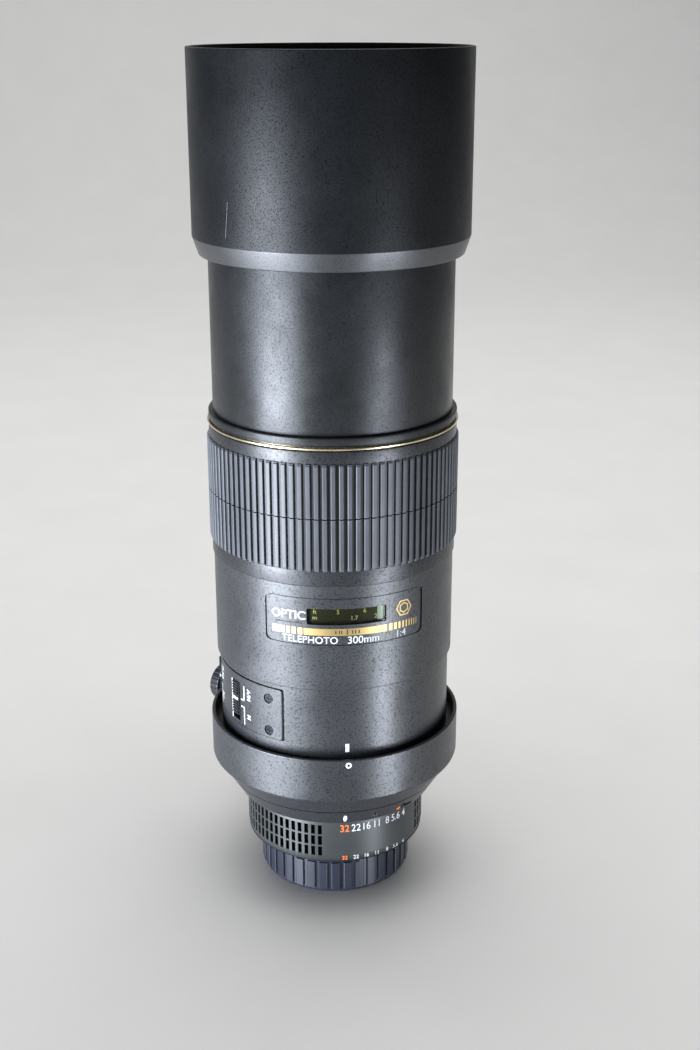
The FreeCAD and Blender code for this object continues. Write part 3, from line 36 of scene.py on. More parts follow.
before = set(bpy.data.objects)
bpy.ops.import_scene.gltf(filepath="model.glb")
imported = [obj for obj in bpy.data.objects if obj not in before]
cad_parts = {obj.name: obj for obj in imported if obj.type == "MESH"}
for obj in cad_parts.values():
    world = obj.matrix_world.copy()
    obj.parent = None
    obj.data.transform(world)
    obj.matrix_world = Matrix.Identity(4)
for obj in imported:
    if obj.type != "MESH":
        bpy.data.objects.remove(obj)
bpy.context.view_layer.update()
MM = 0.001
STEPS_ROUND = 288


# ---------------------------------------------------------------- sizes read from the frame

def radii(node):
    """Smallest and largest distance of a node's vertices from the optical axis."""
    reach = [math.hypot(v.co.x, v.co.y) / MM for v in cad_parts[node].data.vertices]
    return min(reach), max(reach)


def heights(node):
    """Lowest and highest point of a node along the optical axis."""
    lowest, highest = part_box(node)
    return lowest.z / MM, highest.z / MM


class Ring:
    """A turned node's radii and heights."""

    def __init__(self, node):
        self.inner, self.outer = radii(node)
        self.low, self.high = heights(node)


# ---------------------------------------------------------------- meshes

def finish_mesh(name, mesh_data, body, material, replaces=(), slot=None, sharp=32):
    """Make an object of a bmesh, shade it, and let it ride on its body."""
    mesh = bpy.data.meshes.new(name)
    bmesh.ops.recalc_face_normals(mesh_data, faces=mesh_data.faces)
    mesh_data.to_mesh(mesh)
    mesh_data.free()
    mesh.shade_smooth()
    mesh.set_sharp_from_angle(angle=math.radians(sharp))
    mesh.materials.append(material)
    piece = bpy.data.objects.new(name, mesh)
    bpy.context.scene.collection.objects.link(piece)
    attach(piece, body)
    if replaces:
        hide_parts(*replaces)
    return piece


def softened(outline, steps=4):
    """Round the corners of a closed outline of (radius, height, rounding) points."""
    points = []
    count = len(outline)
    for index, (across, up, size) in enumerate(outline):
        corner = Vector((across, up))
        if not size:
            points.append(corner)
            continue
        before = Vector(outline[index - 1][:2]) - corner
        after = Vector(outline[(index + 1) % count][:2]) - corner
        reach = min(size, before.length * 0.45, after.length * 0.45)
        start = corner + before.normalized() * reach
        end = corner + after.normalized() * reach
        for step in range(steps + 1):
            share = step / steps
            points.append(start * (1 - share) ** 2 + corner * 2 * share * (1 - share) + end * share ** 2)
    return [(point.x, point.y) for point in points]


def even_turn(count=STEPS_ROUND):
    """Azimuths evenly spread over a full turn."""
    return [360 * index / count for index in range(count)]


def on_barrel(azimuth, height, radius):
    """The point at an azimuth, a height and a radius, in metres."""
    angle = math.radians(azimuth)
    return Vector((radius * math.sin(angle), -radius * math.cos(angle), height)) * MM


def lathe(name, outline, body, material, azimuths=None, relief=None, **extra):
    """Turn a closed outline of (radius, height) round the axis, with an optional relief."""
    azimuths = azimuths or even_turn()
    data = bmesh.new()
    columns = []
    for azimuth in azimuths:
        column = []
        for radius, height in outline:
            if relief:
                radius = relief(azimuth, height, radius)
            column.append(data.verts.new(on_barrel(azimuth, height, radius)))
        columns.append(column)
    for index, column in enumerate(columns):
        following = columns[(index + 1) % len(columns)]
        for row in range(len(outline)):
            nxt = (row + 1) % len(outline)
            data.faces.new((column[row], following[row], following[nxt], column[nxt]))
    return finish_mesh(name, data, body, material, **extra)


def wrap(name, data, azimuth, height, radius, body, material, spin=0.0, slope=0.0, **extra):
    """
    Lay a flat thin mesh (x along the barrel's turn, y up, z outwards, millimetres) on a barrel.
    slope is how much the radius grows for each millimetre of height.
    """
    bmesh.ops.rotate(data, verts=data.verts, matrix=Matrix.Rotation(math.radians(spin), 3, "Z"))
    low = min(vert.co.x for vert in data.verts)
    high = max(vert.co.x for vert in data.verts)
    pitch = 0.9  # width of the strips in which the mesh bends
    for step in range(1, int((high - low) / pitch) + 1):
        geometry = list(data.verts) + list(data.edges) + list(data.faces)
        bmesh.ops.bisect_plane(data, geom=geometry, plane_co=(low + step * pitch, 0, 0), plane_no=(1, 0, 0))
    for vert in data.verts:
        reach = radius + slope * vert.co.y
        turn = azimuth + math.degrees(vert.co.x / reach)
        vert.co = on_barrel(turn, height + vert.co.y, reach + vert.co.z)
    return finish_mesh(name, data, body, material, **extra)


PRINT_DEPTH = 0.03
PRINT_LIFT = 0.005  # gap between a barrel and the underside of a printed mark
CAPITAL_SHARE = 0.72  # height of a capital letter over the size of its font


def prism(points, depth=PRINT_DEPTH):
    """A thin closed plate with the given outline."""
    data = bmesh.new()
    bottom = [data.verts.new((x, y, PRINT_LIFT)) for x, y in points]
    top = [data.verts.new((x, y, depth)) for x, y in points]
    count = len(points)
    data.faces.new(list(reversed(bottom)))
    data.faces.new(top)
    for index in range(count):
        nxt = (index + 1) % count
        data.faces.new((bottom[index], bottom[nxt], top[nxt], top[index]))
    return data


def rectangle(width, height):
    """Corners of a rectangle about the origin."""
    x, y = width / 2, height / 2
    return [(-x, -y), (x, -y), (x, y), (-x, y)]


def oval(width, height, count=28):
    """Points round an ellipse about the origin."""
    return [(width / 2 * math.cos(math.tau * n / count), height / 2 * math.sin(math.tau * n / count))
            for n in range(count)]


def ring_plate(outer, inner, depth=PRINT_DEPTH, count=32):
    """A thin flat ring."""
    data = bmesh.new()
    loops = []
    for radius, up in ((outer, depth), (inner, depth), (inner, PRINT_LIFT), (outer, PRINT_LIFT)):
        loops.append([data.verts.new((x, y, up)) for x, y in oval(radius * 2, radius * 2, count)])
    for first, second in zip(loops, loops[1:] + loops[:1]):
        for index in range(count):
            nxt = (index + 1) % count
            data.faces.new((first[index], first[nxt], second[nxt], second[index]))
    return data


def text_mesh(words, size, boldness=0.0, spacing=1.0, squeeze=1.0):
    """Thin solid letters, centred, with capitals of about the given height."""
    curve = bpy.data.curves.new("letters", "FONT")
    curve.body = words
    curve.size = size / CAPITAL_SHARE
    curve.extrude = PRINT_DEPTH / 2
    curve.offset = boldness
    curve.space_character = spacing
    curve.resolution_u = 5
    holder = bpy.data.objects.new("letters", curve)
    bpy.context.scene.collection.objects.link(holder)
    bpy.context.view_layer.update()
    evaluated = holder.evaluated_get(bpy.context.evaluated_depsgraph_get())
    solid = bpy.data.meshes.new_from_object(evaluated)
    data = bmesh.new()
    data.from_mesh(solid)
    bpy.data.objects.remove(holder)
    bpy.data.curves.remove(curve)
    bpy.data.meshes.remove(solid)
    bmesh.ops.remove_doubles(data, verts=data.verts, dist=1e-5)
    middle_x = (min(v.co.x for v in data.verts) + max(v.co.x for v in data.verts)) / 2
    middle_y = (min(v.co.y for v in data.verts) + max(v.co.y for v in data.verts)) / 2
    for vert in data.verts:
        vert.co.x = (vert.co.x - middle_x) * squeeze
        vert.co.y -= middle_y
        vert.co.z += PRINT_DEPTH / 2
    return data


# ---------------------------------------------------------------- materials

def rgba(color, share=1.0):
    """A colour times a share, with full opacity."""
    return [value * share for value in color] + [1]


def tree_of(name):
    """A new material, and its empty node tree with an output and a surface shader."""
    material = bpy.data.materials.new(name)
    material.use_nodes = True
    tree = material.node_tree
    tree.nodes.clear()
    output = tree.nodes.new("ShaderNodeOutputMaterial")
    shader = tree.nodes.new("ShaderNodeBsdfPrincipled")
    tree.links.new(shader.outputs[0], output.inputs["Surface"])
    return material, tree, shader


def put(tree, socket, value):
    """Link an output to a socket, or set the socket to a plain value."""
    if isinstance(value, bpy.types.NodeSocket):
        tree.links.new(value, socket)
    else:
        socket.default_value = value


def add(tree, kind, settings=None, **inputs):
    """A node of a kind, with settings and inputs; underscores in input names stand for spaces."""
    item = tree.nodes.new(f"ShaderNode{kind}")
    for key, value in (settings or {}).items():
        setattr(item, key, value)
    for key, value in inputs.items():
        put(tree, item.inputs[key.replace("_", " ")], value)
    return item


def spread(tree, value, low_in, high_in, low_out, high_out):
    """Map a value from one range to another."""
    item = add(tree, "MapRange", Value=value)
    ends = {"From Min": low_in, "From Max": high_in, "To Min": low_out, "To Max": high_out}
    for key, number in ends.items():
        item.inputs[key].default_value = number
    return item.outputs["Result"]


def blend_colors(tree, share, first, second):
    """Fade from the first colour to the second."""
    item = tree.nodes.new("ShaderNodeMix")
    item.data_type = "RGBA"
    put(tree, item.inputs["Factor"], share)
    put(tree, item.inputs["A"], first)
    put(tree, item.inputs["B"], second)
    return item.outputs["Result"]


def arithmetic(tree, kind, first, second):
    """One sum, difference or product of two values."""
    item = tree.nodes.new("ShaderNodeMath")
    item.operation = kind
    put(tree, item.inputs[0], first)
    put(tree, item.inputs[1], second)
    return item.outputs[0]


def place_of(tree, stretch=(1.0, 1.0, 1.0)):
    """Position on the piece in millimetres."""
    spot = tree.nodes.new("ShaderNodeTexCoord").outputs["Object"]
    scaled = add(tree, "Mapping", Vector=spot)
    scaled.inputs["Scale"].default_value = [value / MM for value in stretch]
    return scaled.outputs["Vector"]


def noise(tree, vector, scale, detail=3.0, roughness=0.55):
    """Cloudy noise with about scale lumps per millimetre."""
    item = add(tree, "TexNoise", Vector=vector, Scale=scale, Detail=detail, Roughness=roughness)
    return item.outputs["Fac"]


def skin(tree, shader, height, strength, depth):
    """Give the surface a fine bump; depth is in millimetres."""
    bump = add(tree, "Bump", Height=height, Strength=strength, Distance=depth * MM)
    put(tree, shader.inputs["Normal"], bump.outputs["Normal"])


def worn_edges(tree, radius, low=0.02, high=0.25):
    """1 along the edges of the piece and 0 on its faces."""
    bevel = add(tree, "Bevel", {"samples": 4}, Radius=radius * MM)
    geometry = tree.nodes.new("ShaderNodeNewGeometry")
    product = tree.nodes.new("ShaderNodeVectorMath")
    product.operation = "DOT_PRODUCT"
    tree.links.new(bevel.outputs[0], product.inputs[0])
    tree.links.new(geometry.outputs["Normal"], product.inputs[1])
    bend = arithmetic(tree, "SUBTRACT", 1.0, product.outputs["Value"])
    return spread(tree, bend, low, high, 0.0, 1.0)


def away_from_axis(tree):
    """Distance from the optical axis in millimetres."""
    flat = place_of(tree, (1.0, 1.0, 0.0))
    return add(tree, "VectorMath", {"operation": "LENGTH"}, Vector=flat).outputs["Value"]


DOT_COLOR = (0.003, 0.003, 0.004)
BARE_COLOR = (0.16, 0.165, 0.17)


def paint(name, color, roughness, shine, grain=1.6, depth=0.015, speckle=0.6, wear=0.35, smudge=0.08):
    """
    Black lens paint: a fine skin in its bump, small dull dark dots, slow changes of gloss from
    handling and lighter worn edges. grain is dots per millimetre, depth the bump in millimetres.
    """
    material, tree, shader = tree_of(name)
    spot = place_of(tree)
    fine = noise(tree, spot, grain * 2.2, 3.0, 0.6)
    dots = spread(tree, noise(tree, spot, grain, 2.5, 0.65), 0.53, 0.62, 0.0, speckle)
    cloud = noise(tree, spot, 0.045, 4.0, 0.6)
    tone = blend_colors(tree, spread(tree, fine, 0.3, 0.72, 0.0, 1.0), rgba(color, 0.6), rgba(color))
    tone = blend_colors(tree, dots, tone, rgba(DOT_COLOR))
    edge = worn_edges(tree, 0.45)
    chips = spread(tree, noise(tree, spot, 1.1, 5.0, 0.7), 0.5, 0.62, 0.0, 1.0)
    worn = arithmetic(tree, "MULTIPLY", arithmetic(tree, "MULTIPLY", edge, chips), wear)
    tone = blend_colors(tree, worn, tone, rgba(BARE_COLOR))
    put(tree, shader.inputs["Base Color"], tone)
    gloss = spread(tree, cloud, 0.3, 0.7, roughness - smudge, roughness + smudge)
    gloss = arithmetic(tree, "ADD", gloss, spread(tree, fine, 0.2, 0.8, 0.05, -0.05))
    put(tree, shader.inputs["Roughness"], gloss)
    put(tree, shader.inputs["Specular IOR Level"], spread(tree, dots, 0.0, 1.0, shine, shine * 0.12))
    skin(tree, shader, arithmetic(tree, "SUBTRACT", fine, dots), 0.7, depth)
    return material


def rubber(name, valley, top):
    """
    Dark grey rubber, dusty on its high parts, with painted shade in the grooves between its ribs:
    nearly black where it is nearer to the axis than valley, fading to its full tone beyond top.
    """
    fresh, grey = (0.034, 0.037, 0.043), (0.055, 0.06, 0.068)
    dusty, shadow = (0.22, 0.23, 0.25), (0.006, 0.006, 0.007)
    material, tree, shader = tree_of(name)
    spot = place_of(tree)
    fine = noise(tree, spot, 4.0, 4.0, 0.6)
    patch = noise(tree, spot, 0.08, 3.0, 0.55)
    edge = worn_edges(tree, 0.5, 0.01, 0.3)
    tone = blend_colors(tree, spread(tree, patch, 0.3, 0.7, 0.0, 1.0), rgba(fresh), rgba(grey))
    dust = arithmetic(tree, "MULTIPLY", edge, spread(tree, fine, 0.3, 0.7, 0.2, 0.6))
    tone = blend_colors(tree, dust, tone, rgba(dusty))
    # painted shade: the grooves between the ribs are darkened towards black
    light = spread(tree, away_from_axis(tree), valley, top, 0.0, 1.0)
    tone = blend_colors(tree, light, rgba(shadow), tone)
    put(tree, shader.inputs["Base Color"], tone)
    put(tree, shader.inputs["Roughness"], spread(tree, fine, 0.25, 0.75, 0.40, 0.56))
    skin(tree, shader, fine, 0.5, 0.03)
    return material


def plastic(name, color, roughness=0.42, grain=3.0, depth=0.02, hollow=None):
    """
    Moulded plastic with a fine skin and slightly polished edges. hollow is a pair of distances
    from the axis between which painted shade fades from black and nearly glossless to the full tone
    and gloss, so that what lies deeper, as the floor of a recess, is painted as shaded.
    """
    material, tree, shader = tree_of(name)
    spot = place_of(tree)
    fine = noise(tree, spot, grain, 3.0, 0.6)
    cloud = noise(tree, spot, 0.12, 3.0, 0.6)
    tone = blend_colors(tree, spread(tree, cloud, 0.3, 0.7, 0.0, 1.0), rgba(color, 0.75), rgba(color))
    edge = worn_edges(tree, 0.35, 0.02, 0.4)
    rubbed = [value * 2.2 + 0.02 for value in color]
    tone = blend_colors(tree, arithmetic(tree, "MULTIPLY", edge, 0.6), tone, rgba(rubbed))
    # painted shade: black, with little gloss, inside the first distance of hollow, gone beyond the second
    if hollow:
        light = spread(tree, away_from_axis(tree), *hollow, 0.0, 1.0)
        tone = blend_colors(tree, light, rgba((0.001, 0.001, 0.001)), tone)
        put(tree, shader.inputs["Specular IOR Level"], spread(tree, light, 0.0, 1.0, 0.05, 0.5))
    put(tree, shader.inputs["Base Color"], tone)
    put(tree, shader.inputs["Roughness"], spread(tree, fine, 0.2, 0.8, roughness - 0.07, roughness + 0.07))
    skin(tree, shader, fine, 0.6, depth)
    return material


def metal(name, color, roughness=0.28, dark=0.55):
    """
    Turned metal: fine lines round the axis, a slightly uneven gloss, and stains where the colour
    falls to the share dark.
    """
    material, tree, shader = tree_of(name)
    lines = noise(tree, place_of(tree, (1.0, 1.0, 14.0)), 1.2, 5.0, 0.7)
    stain = noise(tree, place_of(tree), 0.15, 4.0, 0.6)
    tone = blend_colors(tree, spread(tree, stain, 0.3, 0.7, 0.0, 1.0), rgba(color, dark), rgba(color))
    put(tree, shader.inputs["Base Color"], tone)
    put(tree, shader.inputs["Metallic"], 1.0)
    gloss = spread(tree, lines, 0.25, 0.75, roughness - 0.08, roughness + 0.1)
    put(tree, shader.inputs["Roughness"], gloss)
    skin(tree, shader, lines, 0.35, 0.02)
    return material


def filling(name, color, roughness=0.5, thin=0.25):
    """Printed paint, a little uneven, and darker in spots by up to the share thin."""
    material, tree, shader = tree_of(name)
    spot = place_of(tree)
    uneven = noise(tree, spot, 2.2, 4.0, 0.65)
    fade = spread(tree, uneven, 0.3, 0.62, thin, 0.0)
    tone = blend_colors(tree, fade, rgba(color), rgba(color, 0.35))
    put(tree, shader.inputs["Base Color"], tone)
    put(tree, shader.inputs["Roughness"], spread(tree, uneven, 0.2, 0.8, roughness - 0.1, roughness + 0.1))
    skin(tree, shader, uneven, 0.4, 0.015)
    return material


def glass(name, tint, film):
    """Coated glass: clear, with a reflection that turns from film to violet at a slant."""
    violet = (0.9, 0.75, 1.0)
    material, tree, shader = tree_of(name)
    spot = place_of(tree)
    dust = noise(tree, spot, 1.6, 6.0, 0.75)
    put(tree, shader.inputs["Base Color"], rgba(tint))
    put(tree, shader.inputs["Roughness"], spread(tree, dust, 0.5, 0.8, 0.02, 0.16))
    shader.inputs["Transmission Weight"].default_value = 0.85
    shader.inputs["IOR"].default_value = 1.5
    shader.inputs["Coat Weight"].default_value = 0.6
    facing = add(tree, "LayerWeight", Blend=0.45).outputs["Facing"]
    put(tree, shader.inputs["Coat Tint"], blend_colors(tree, facing, rgba(film), rgba(violet)))
    return material


def clear_window(name, tint):
    """Thin clear plastic: seen through, with a dusty reflection of the lights."""
    material, tree, shader = tree_of(name)
    dust = noise(tree, place_of(tree), 1.6, 6.0, 0.75)
    put(tree, shader.inputs["Base Color"], rgba((0.01, 0.012, 0.01)))
    put(tree, shader.inputs["Roughness"], spread(tree, dust, 0.4, 0.8, 0.08, 0.2))
    clear = add(tree, "BsdfTransparent", Color=rgba(tint))
    mirror = spread(tree, add(tree, "LayerWeight", Blend=0.35).outputs["Fresnel"], 0.0, 1.0, 0.06, 0.7)
    both = add(tree, "MixShader", Fac=mirror)
    tree.links.new(clear.outputs[0], both.inputs[1])
    tree.links.new(shader.outputs[0], both.inputs[2])
    tree.links.new(both.outputs[0], tree.nodes["Material Output"].inputs["Surface"])
    return material


def felt(name):
    """Black felt with a coarse, matt nap."""
    material, tree, shader = tree_of(name)
    fibres = noise(tree, place_of(tree), 6.0, 6.0, 0.8)
    tone = blend_colors(tree, fibres, rgba((0.003, 0.003, 0.003)), rgba((0.02, 0.02, 0.02)))
    put(tree, shader.inputs["Base Color"], tone)
    shader.inputs["Roughness"].default_value = 0.95
    shader.inputs["Sheen Weight"].default_value = 0.4
    skin(tree, shader, fibres, 1.0, 0.12)
    return material


BARREL_PAINT = paint("barrel_paint", (0.015, 0.0165, 0.019), roughness=0.38, shine=0.75)
BAND_PAINT = paint("band_paint", (0.009, 0.010, 0.012), roughness=0.36, shine=0.6)
TUBE_PAINT = paint("tube_paint", (0.006, 0.007, 0.008), roughness=0.38, shine=0.45, grain=2.3,
                   depth=0.012, speckle=0.55, wear=0.5, smudge=0.1)
HOOD_PAINT = paint("hood_paint", (0.005, 0.006, 0.007), roughness=0.42, shine=0.31, grain=2.3,
                   depth=0.014, speckle=0.7, wear=0.6)
# shinier than the hood paint, and lighter in colour: a painted reflection of the floor on the hood's
# chamfer and a painted highlight along its rim
HOOD_REFLECTION_PAINT = paint("hood_collar_painted_reflection", (0.012, 0.013, 0.015), roughness=0.40, shine=0.9, grain=2.0,
                     depth=0.008, speckle=0.3, wear=0.6)
MATT_BLACK = plastic("matt_black", (0.008, 0.008, 0.009), 0.75, grain=2.0, depth=0.04)
# the grip's grooves get painted shade inside radius 41.6, fading out by 42.2
RUBBER = rubber("grip_rubber", valley=41.6, top=42.2)
CAP_PLASTIC = plastic("cap_plastic", (0.013, 0.015, 0.024), 0.33, grain=2.5)
BLACK_PLASTIC = plastic("black_plastic", (0.011, 0.011, 0.013), 0.4)
# the floors of the aperture ring's windows, inside radius 30.9, get painted shade
RING_PLASTIC = plastic("ring_plastic", (0.022, 0.025, 0.024), 0.4, grain=2.2, depth=0.03,
                       hollow=(30.9, 31.7))
GOLD = metal("gold_finish", (0.93, 0.82, 0.58), 0.26)
GOLD_PRINT = metal("gold_print", (0.50, 0.36, 0.15), 0.46, dark=0.75)
WHITE_PRINT = filling("white_print", (0.56, 0.57, 0.57), 0.6)
ORANGE_PRINT = filling("orange_print", (0.80, 0.14, 0.03))
SCALE_WHITE = filling("scale_white", (0.95, 0.95, 0.92), 0.6, thin=0.1)
YELLOW_PRINT = filling("scale_yellow", (0.95, 0.93, 0.28), 0.6, thin=0.1)
# pale blue paint laid on the drum as a painted reflection of the second lamp in the window
WINDOW_REFLECTION_PAINT = filling("drum_pale_painted_reflection", (0.62, 0.85, 1.0), 0.6, thin=0.1)
BRIGHT_STEEL = metal("bright_steel", (0.72, 0.72, 0.73), 0.2)
DARK_STEEL = metal("dark_steel", (0.03, 0.03, 0.035), 0.4)
BRASS = metal("brass", (0.62, 0.45, 0.2), 0.3)
BOARD = plastic("board_green", (0.01, 0.09, 0.035), 0.3)
FELT = felt("black_felt")
LENS_GLASS = glass("coated_glass", tint=(0.93, 0.97, 0.95), film=(0.35, 0.75, 0.55))
WINDOW_PLASTIC = clear_window("window_clear", (0.92, 0.92, 0.80))
DRUM_PAINT = plastic("drum_paint", (0.020, 0.022, 0.010), 0.6, grain=2.0)
WORN_LINE = filling("worn_line", (0.16, 0.165, 0.17), 0.4, thin=0.9)
GROOVE = plastic("groove_black", (0.004, 0.004, 0.004), 0.8)


# ---------------------------------------------------------------- rear cap and aperture ring

CAP_RIBS = 38
RIB_SHARE = 0.74


def ribbed_turn(count, shares):
    """Azimuths of the given shares of each pitch, for a ring with count ribs."""
    pitch = 360 / count
    return [pitch * (index + share) for index in range(count) for share in shares]


def share_at(azimuth, count, shares):
    """Index of the share of a rib's pitch that an azimuth stands on."""
    across = (azimuth * count / 360) % 1.0
    return min(range(len(shares)), key=lambda index: abs(shares[index] - across))


def make_rear_cap():
    """Cup with wide flat ribs, which stop short of its lip on the side of the index."""
    cap = Ring("rear_cap")
    rib_depth, rib_shoulder, flank = 0.75, 0.62, 0.045
    core = cap.outer - rib_depth
    rib_low, rib_high, short_rib = 1.3, cap.high - 0.5, 12.1
    short_from, short_to = 322.5, 11.0
    shares = (0.0, flank, 2 * flank, RIB_SHARE / 2, RIB_SHARE - 2 * flank, RIB_SHARE - flank,
              RIB_SHARE, 0.87)
    lift = (0.0, rib_shoulder, rib_depth, rib_depth, rib_depth, rib_shoulder, 0.0, 0.0)

    def relief(azimuth, height, radius):
        on_front = azimuth > short_from or azimuth < short_to
        if radius < core - 0.01 or not rib_low < height < (short_rib if on_front else rib_high):
            return radius
        return radius + lift[share_at(azimuth, CAP_RIBS, shares)]

    side = [(core, height) for height in
            (0.9, rib_low, rib_low + 0.25, 5.0, 9.0, short_rib - 0.1, short_rib, rib_high - 0.1, rib_high)]
    lip = [(core, cap.high - 0.2), (core - 0.2, cap.high)]
    floor, ledge, recess, cavity = 1.8, 13.6, 25.3, 24.25
    hollow, hollow_up, middle = 18.0, 0.35, 0.2
    outline = [(middle, hollow_up), (hollow, hollow_up), (hollow + 0.4, 0.0), (core - 0.9, 0.0),
               (core - 0.3, 0.25)]
    outline += side + lip
    outline += [(recess, cap.high), (recess, ledge), (cavity, ledge), (cavity, floor), (middle, floor)]
    lathe("cap_body", outline, "rear_cap", CAP_PLASTIC, azimuths=ribbed_turn(CAP_RIBS, shares),
          relief=relief, replaces=("rear_cap",))


KNURL_LOW, KNURL_HIGH = 17.9, 30.6
KNURL_START, KNURL_END = 57.0, 346.5
KNURL_COLUMNS = 65
KNURL_PITCH = (KNURL_END - KNURL_START) / KNURL_COLUMNS
KNURL_ROWS = 3
ROW_HEIGHT = (KNURL_HIGH - KNURL_LOW) / KNURL_ROWS
KNURL_SKIN = 31.0  # the windows are cut only into what lies outside this radius
WINDOW_DEPTH = 1.2
STOPS = (("32", 0.0), ("22", 7.2), ("16", 14.4), ("11", 21.4), ("8", 29.2), ("5.6", 36.2), ("4", 43.3))


def knurl_azimuths():
    """Azimuths on the edges of the ring's windows, and even ones across its plain part."""
    edges = (0.0, 0.2, 0.24, 0.76, 0.8)
    windows = [KNURL_START + KNURL_PITCH * (index + share)
               for index in range(KNURL_COLUMNS) for share in edges]
    plain = 360 + KNURL_START - KNURL_END
    steps = 56
    return windows + [KNURL_END + plain * index / steps for index in range(steps)]


def knurl_relief(azimuth, height, radius):
    """Three rows of deep square windows, all round but for the numbers."""
    if radius < KNURL_SKIN or not KNURL_LOW < height < KNURL_HIGH or azimuth >= KNURL_END:
        return radius
    across = ((azimuth - KNURL_START) / KNURL_PITCH) % 1.0
    up = (height - KNURL_LOW) % ROW_HEIGHT
    bar = 0.3
    if 0.22 < across < 0.78 and bar < up < ROW_HEIGHT - bar:
        return radius - WINDOW_DEPTH
    return radius


def make_aperture_ring():
    """Ring with a grip of windows, a row of large numbers and a row of small ones."""
    ring = Ring("aperture_ring")
    edge, face = 0.28, 0.42
    steps = (edge, face, ROW_HEIGHT - face, ROW_HEIGHT - edge)
    side = [(ring.outer, KNURL_LOW + ROW_HEIGHT * row + step)
            for row in range(KNURL_ROWS) for step in steps]
    outline = softened([(ring.inner, ring.low, 0.2), (ring.outer, ring.low, 0.45)], 3)
    outline += side + softened([(ring.outer, ring.high, 0.45), (ring.inner, ring.high, 0.2)], 3)
    lathe("aperture_ring_body", outline, "aperture_ring", RING_PLASTIC, azimuths=knurl_azimuths(),
          relief=knurl_relief, replaces=("aperture_ring",))
    large_up, small_up = 29.1, 17.4
    for label, azimuth in STOPS:
        fill = ORANGE_PRINT if label == "32" else WHITE_PRINT
        key = label.replace(".", "_")
        large = text_mesh(label, 2.8, boldness=0.01, squeeze=0.9)
        wrap(f"stop_{key}", large, azimuth, large_up, ring.outer, "aperture_ring", fill)
        small = text_mesh(label, 1.5, boldness=0.01)
        wrap(f"finder_stop_{key}", small, azimuth, small_up, ring.outer, "aperture_ring", fill)


# ---------------------------------------------------------------- tail and tripod collar

def make_tail_marks():
    """Index for the ring, and the dot beside its lock."""
    bottom, seam = 33.2, 39.3
    bottom_radius, seam_radius = 34.8, 38.6
    slope = (seam_radius - bottom_radius) / (seam - bottom)
    marks = (("stop_index", oval(1.35, 3.6), -0.6, 35.8, WHITE_PRINT),
             ("lock_dot", oval(1.7, 1.7), 31.8, 35.2, ORANGE_PRINT))
    for name, outline, azimuth, up, fill in marks:
        reach = bottom_radius + slope * (up - bottom)
        wrap(name, prism(outline), azimuth, up, reach, "barrel", fill, slope=slope)


def make_collar_dot():
    """Small ring that stands opposite the barrel's index line."""
    up, reach = 60.4, 44.0
    wrap("collar_dot", ring_plate(1.05, 0.5), 0.0, up, reach, "tripod_collar", WHITE_PRINT)


# ---------------------------------------------------------------- marks of the lower barrel

SWITCHES = (("mode_switch", -62.8, ("M", "A/M")), ("limit_switch", -92.0, ("3m", "FULL")))


def line(name, width, height, azimuth, up, radius, body="barrel", material=WHITE_PRINT):
    """A printed rectangle."""
    wrap(name, prism(rectangle(width, height)), azimuth, up, radius, body, material)


def make_barrel_marks():
    """Index line over the collar, and the lines and letters beside the switches."""
    barrel_radius = 40.2
    line("collar_index", 1.3, 3.0, 0.0, 65.0, barrel_radius)
    for name, azimuth, labels in SWITCHES:
        make_switch_marks(name, azimuth, labels)


def make_switch_marks(name, azimuth, labels):
    """A line beside a switch, a bracket and a label for each of its two places, and its own index."""
    panel, stroke = 40.15, 0.45
    side, bracket, beyond = azimuth - 4.3, azimuth + 6.7, azimuth + 10.3
    line(f"{name}_side", stroke, 14.8, side, 74.1, panel)
    places = (("low", 70.0, 6.4, 73.2, 70.3), ("high", 78.6, 5.2, 75.8, 78.7))
    for label, (place, middle, height, hook, label_up) in zip(labels, places):
        line(f"{name}_{place}_bracket", stroke, height, bracket, middle, panel)
        line(f"{name}_{place}_hook", 1.7, stroke, bracket - 1.3, hook, panel)
        letters = text_mesh(label, 1.8, boldness=0.02)
        wrap(f"{name}_{place}_label", letters, beyond, label_up, panel, "barrel", WHITE_PRINT, spin=-90)
    slider_face, slider_middle = 40.4, 75.45
    tick = prism(rectangle(3.6, 0.9), depth=0.44)
    wrap(f"{name}_index", tick, azimuth, slider_middle, slider_face, name, WHITE_PRINT)


# ---------------------------------------------------------------- name plate and scale

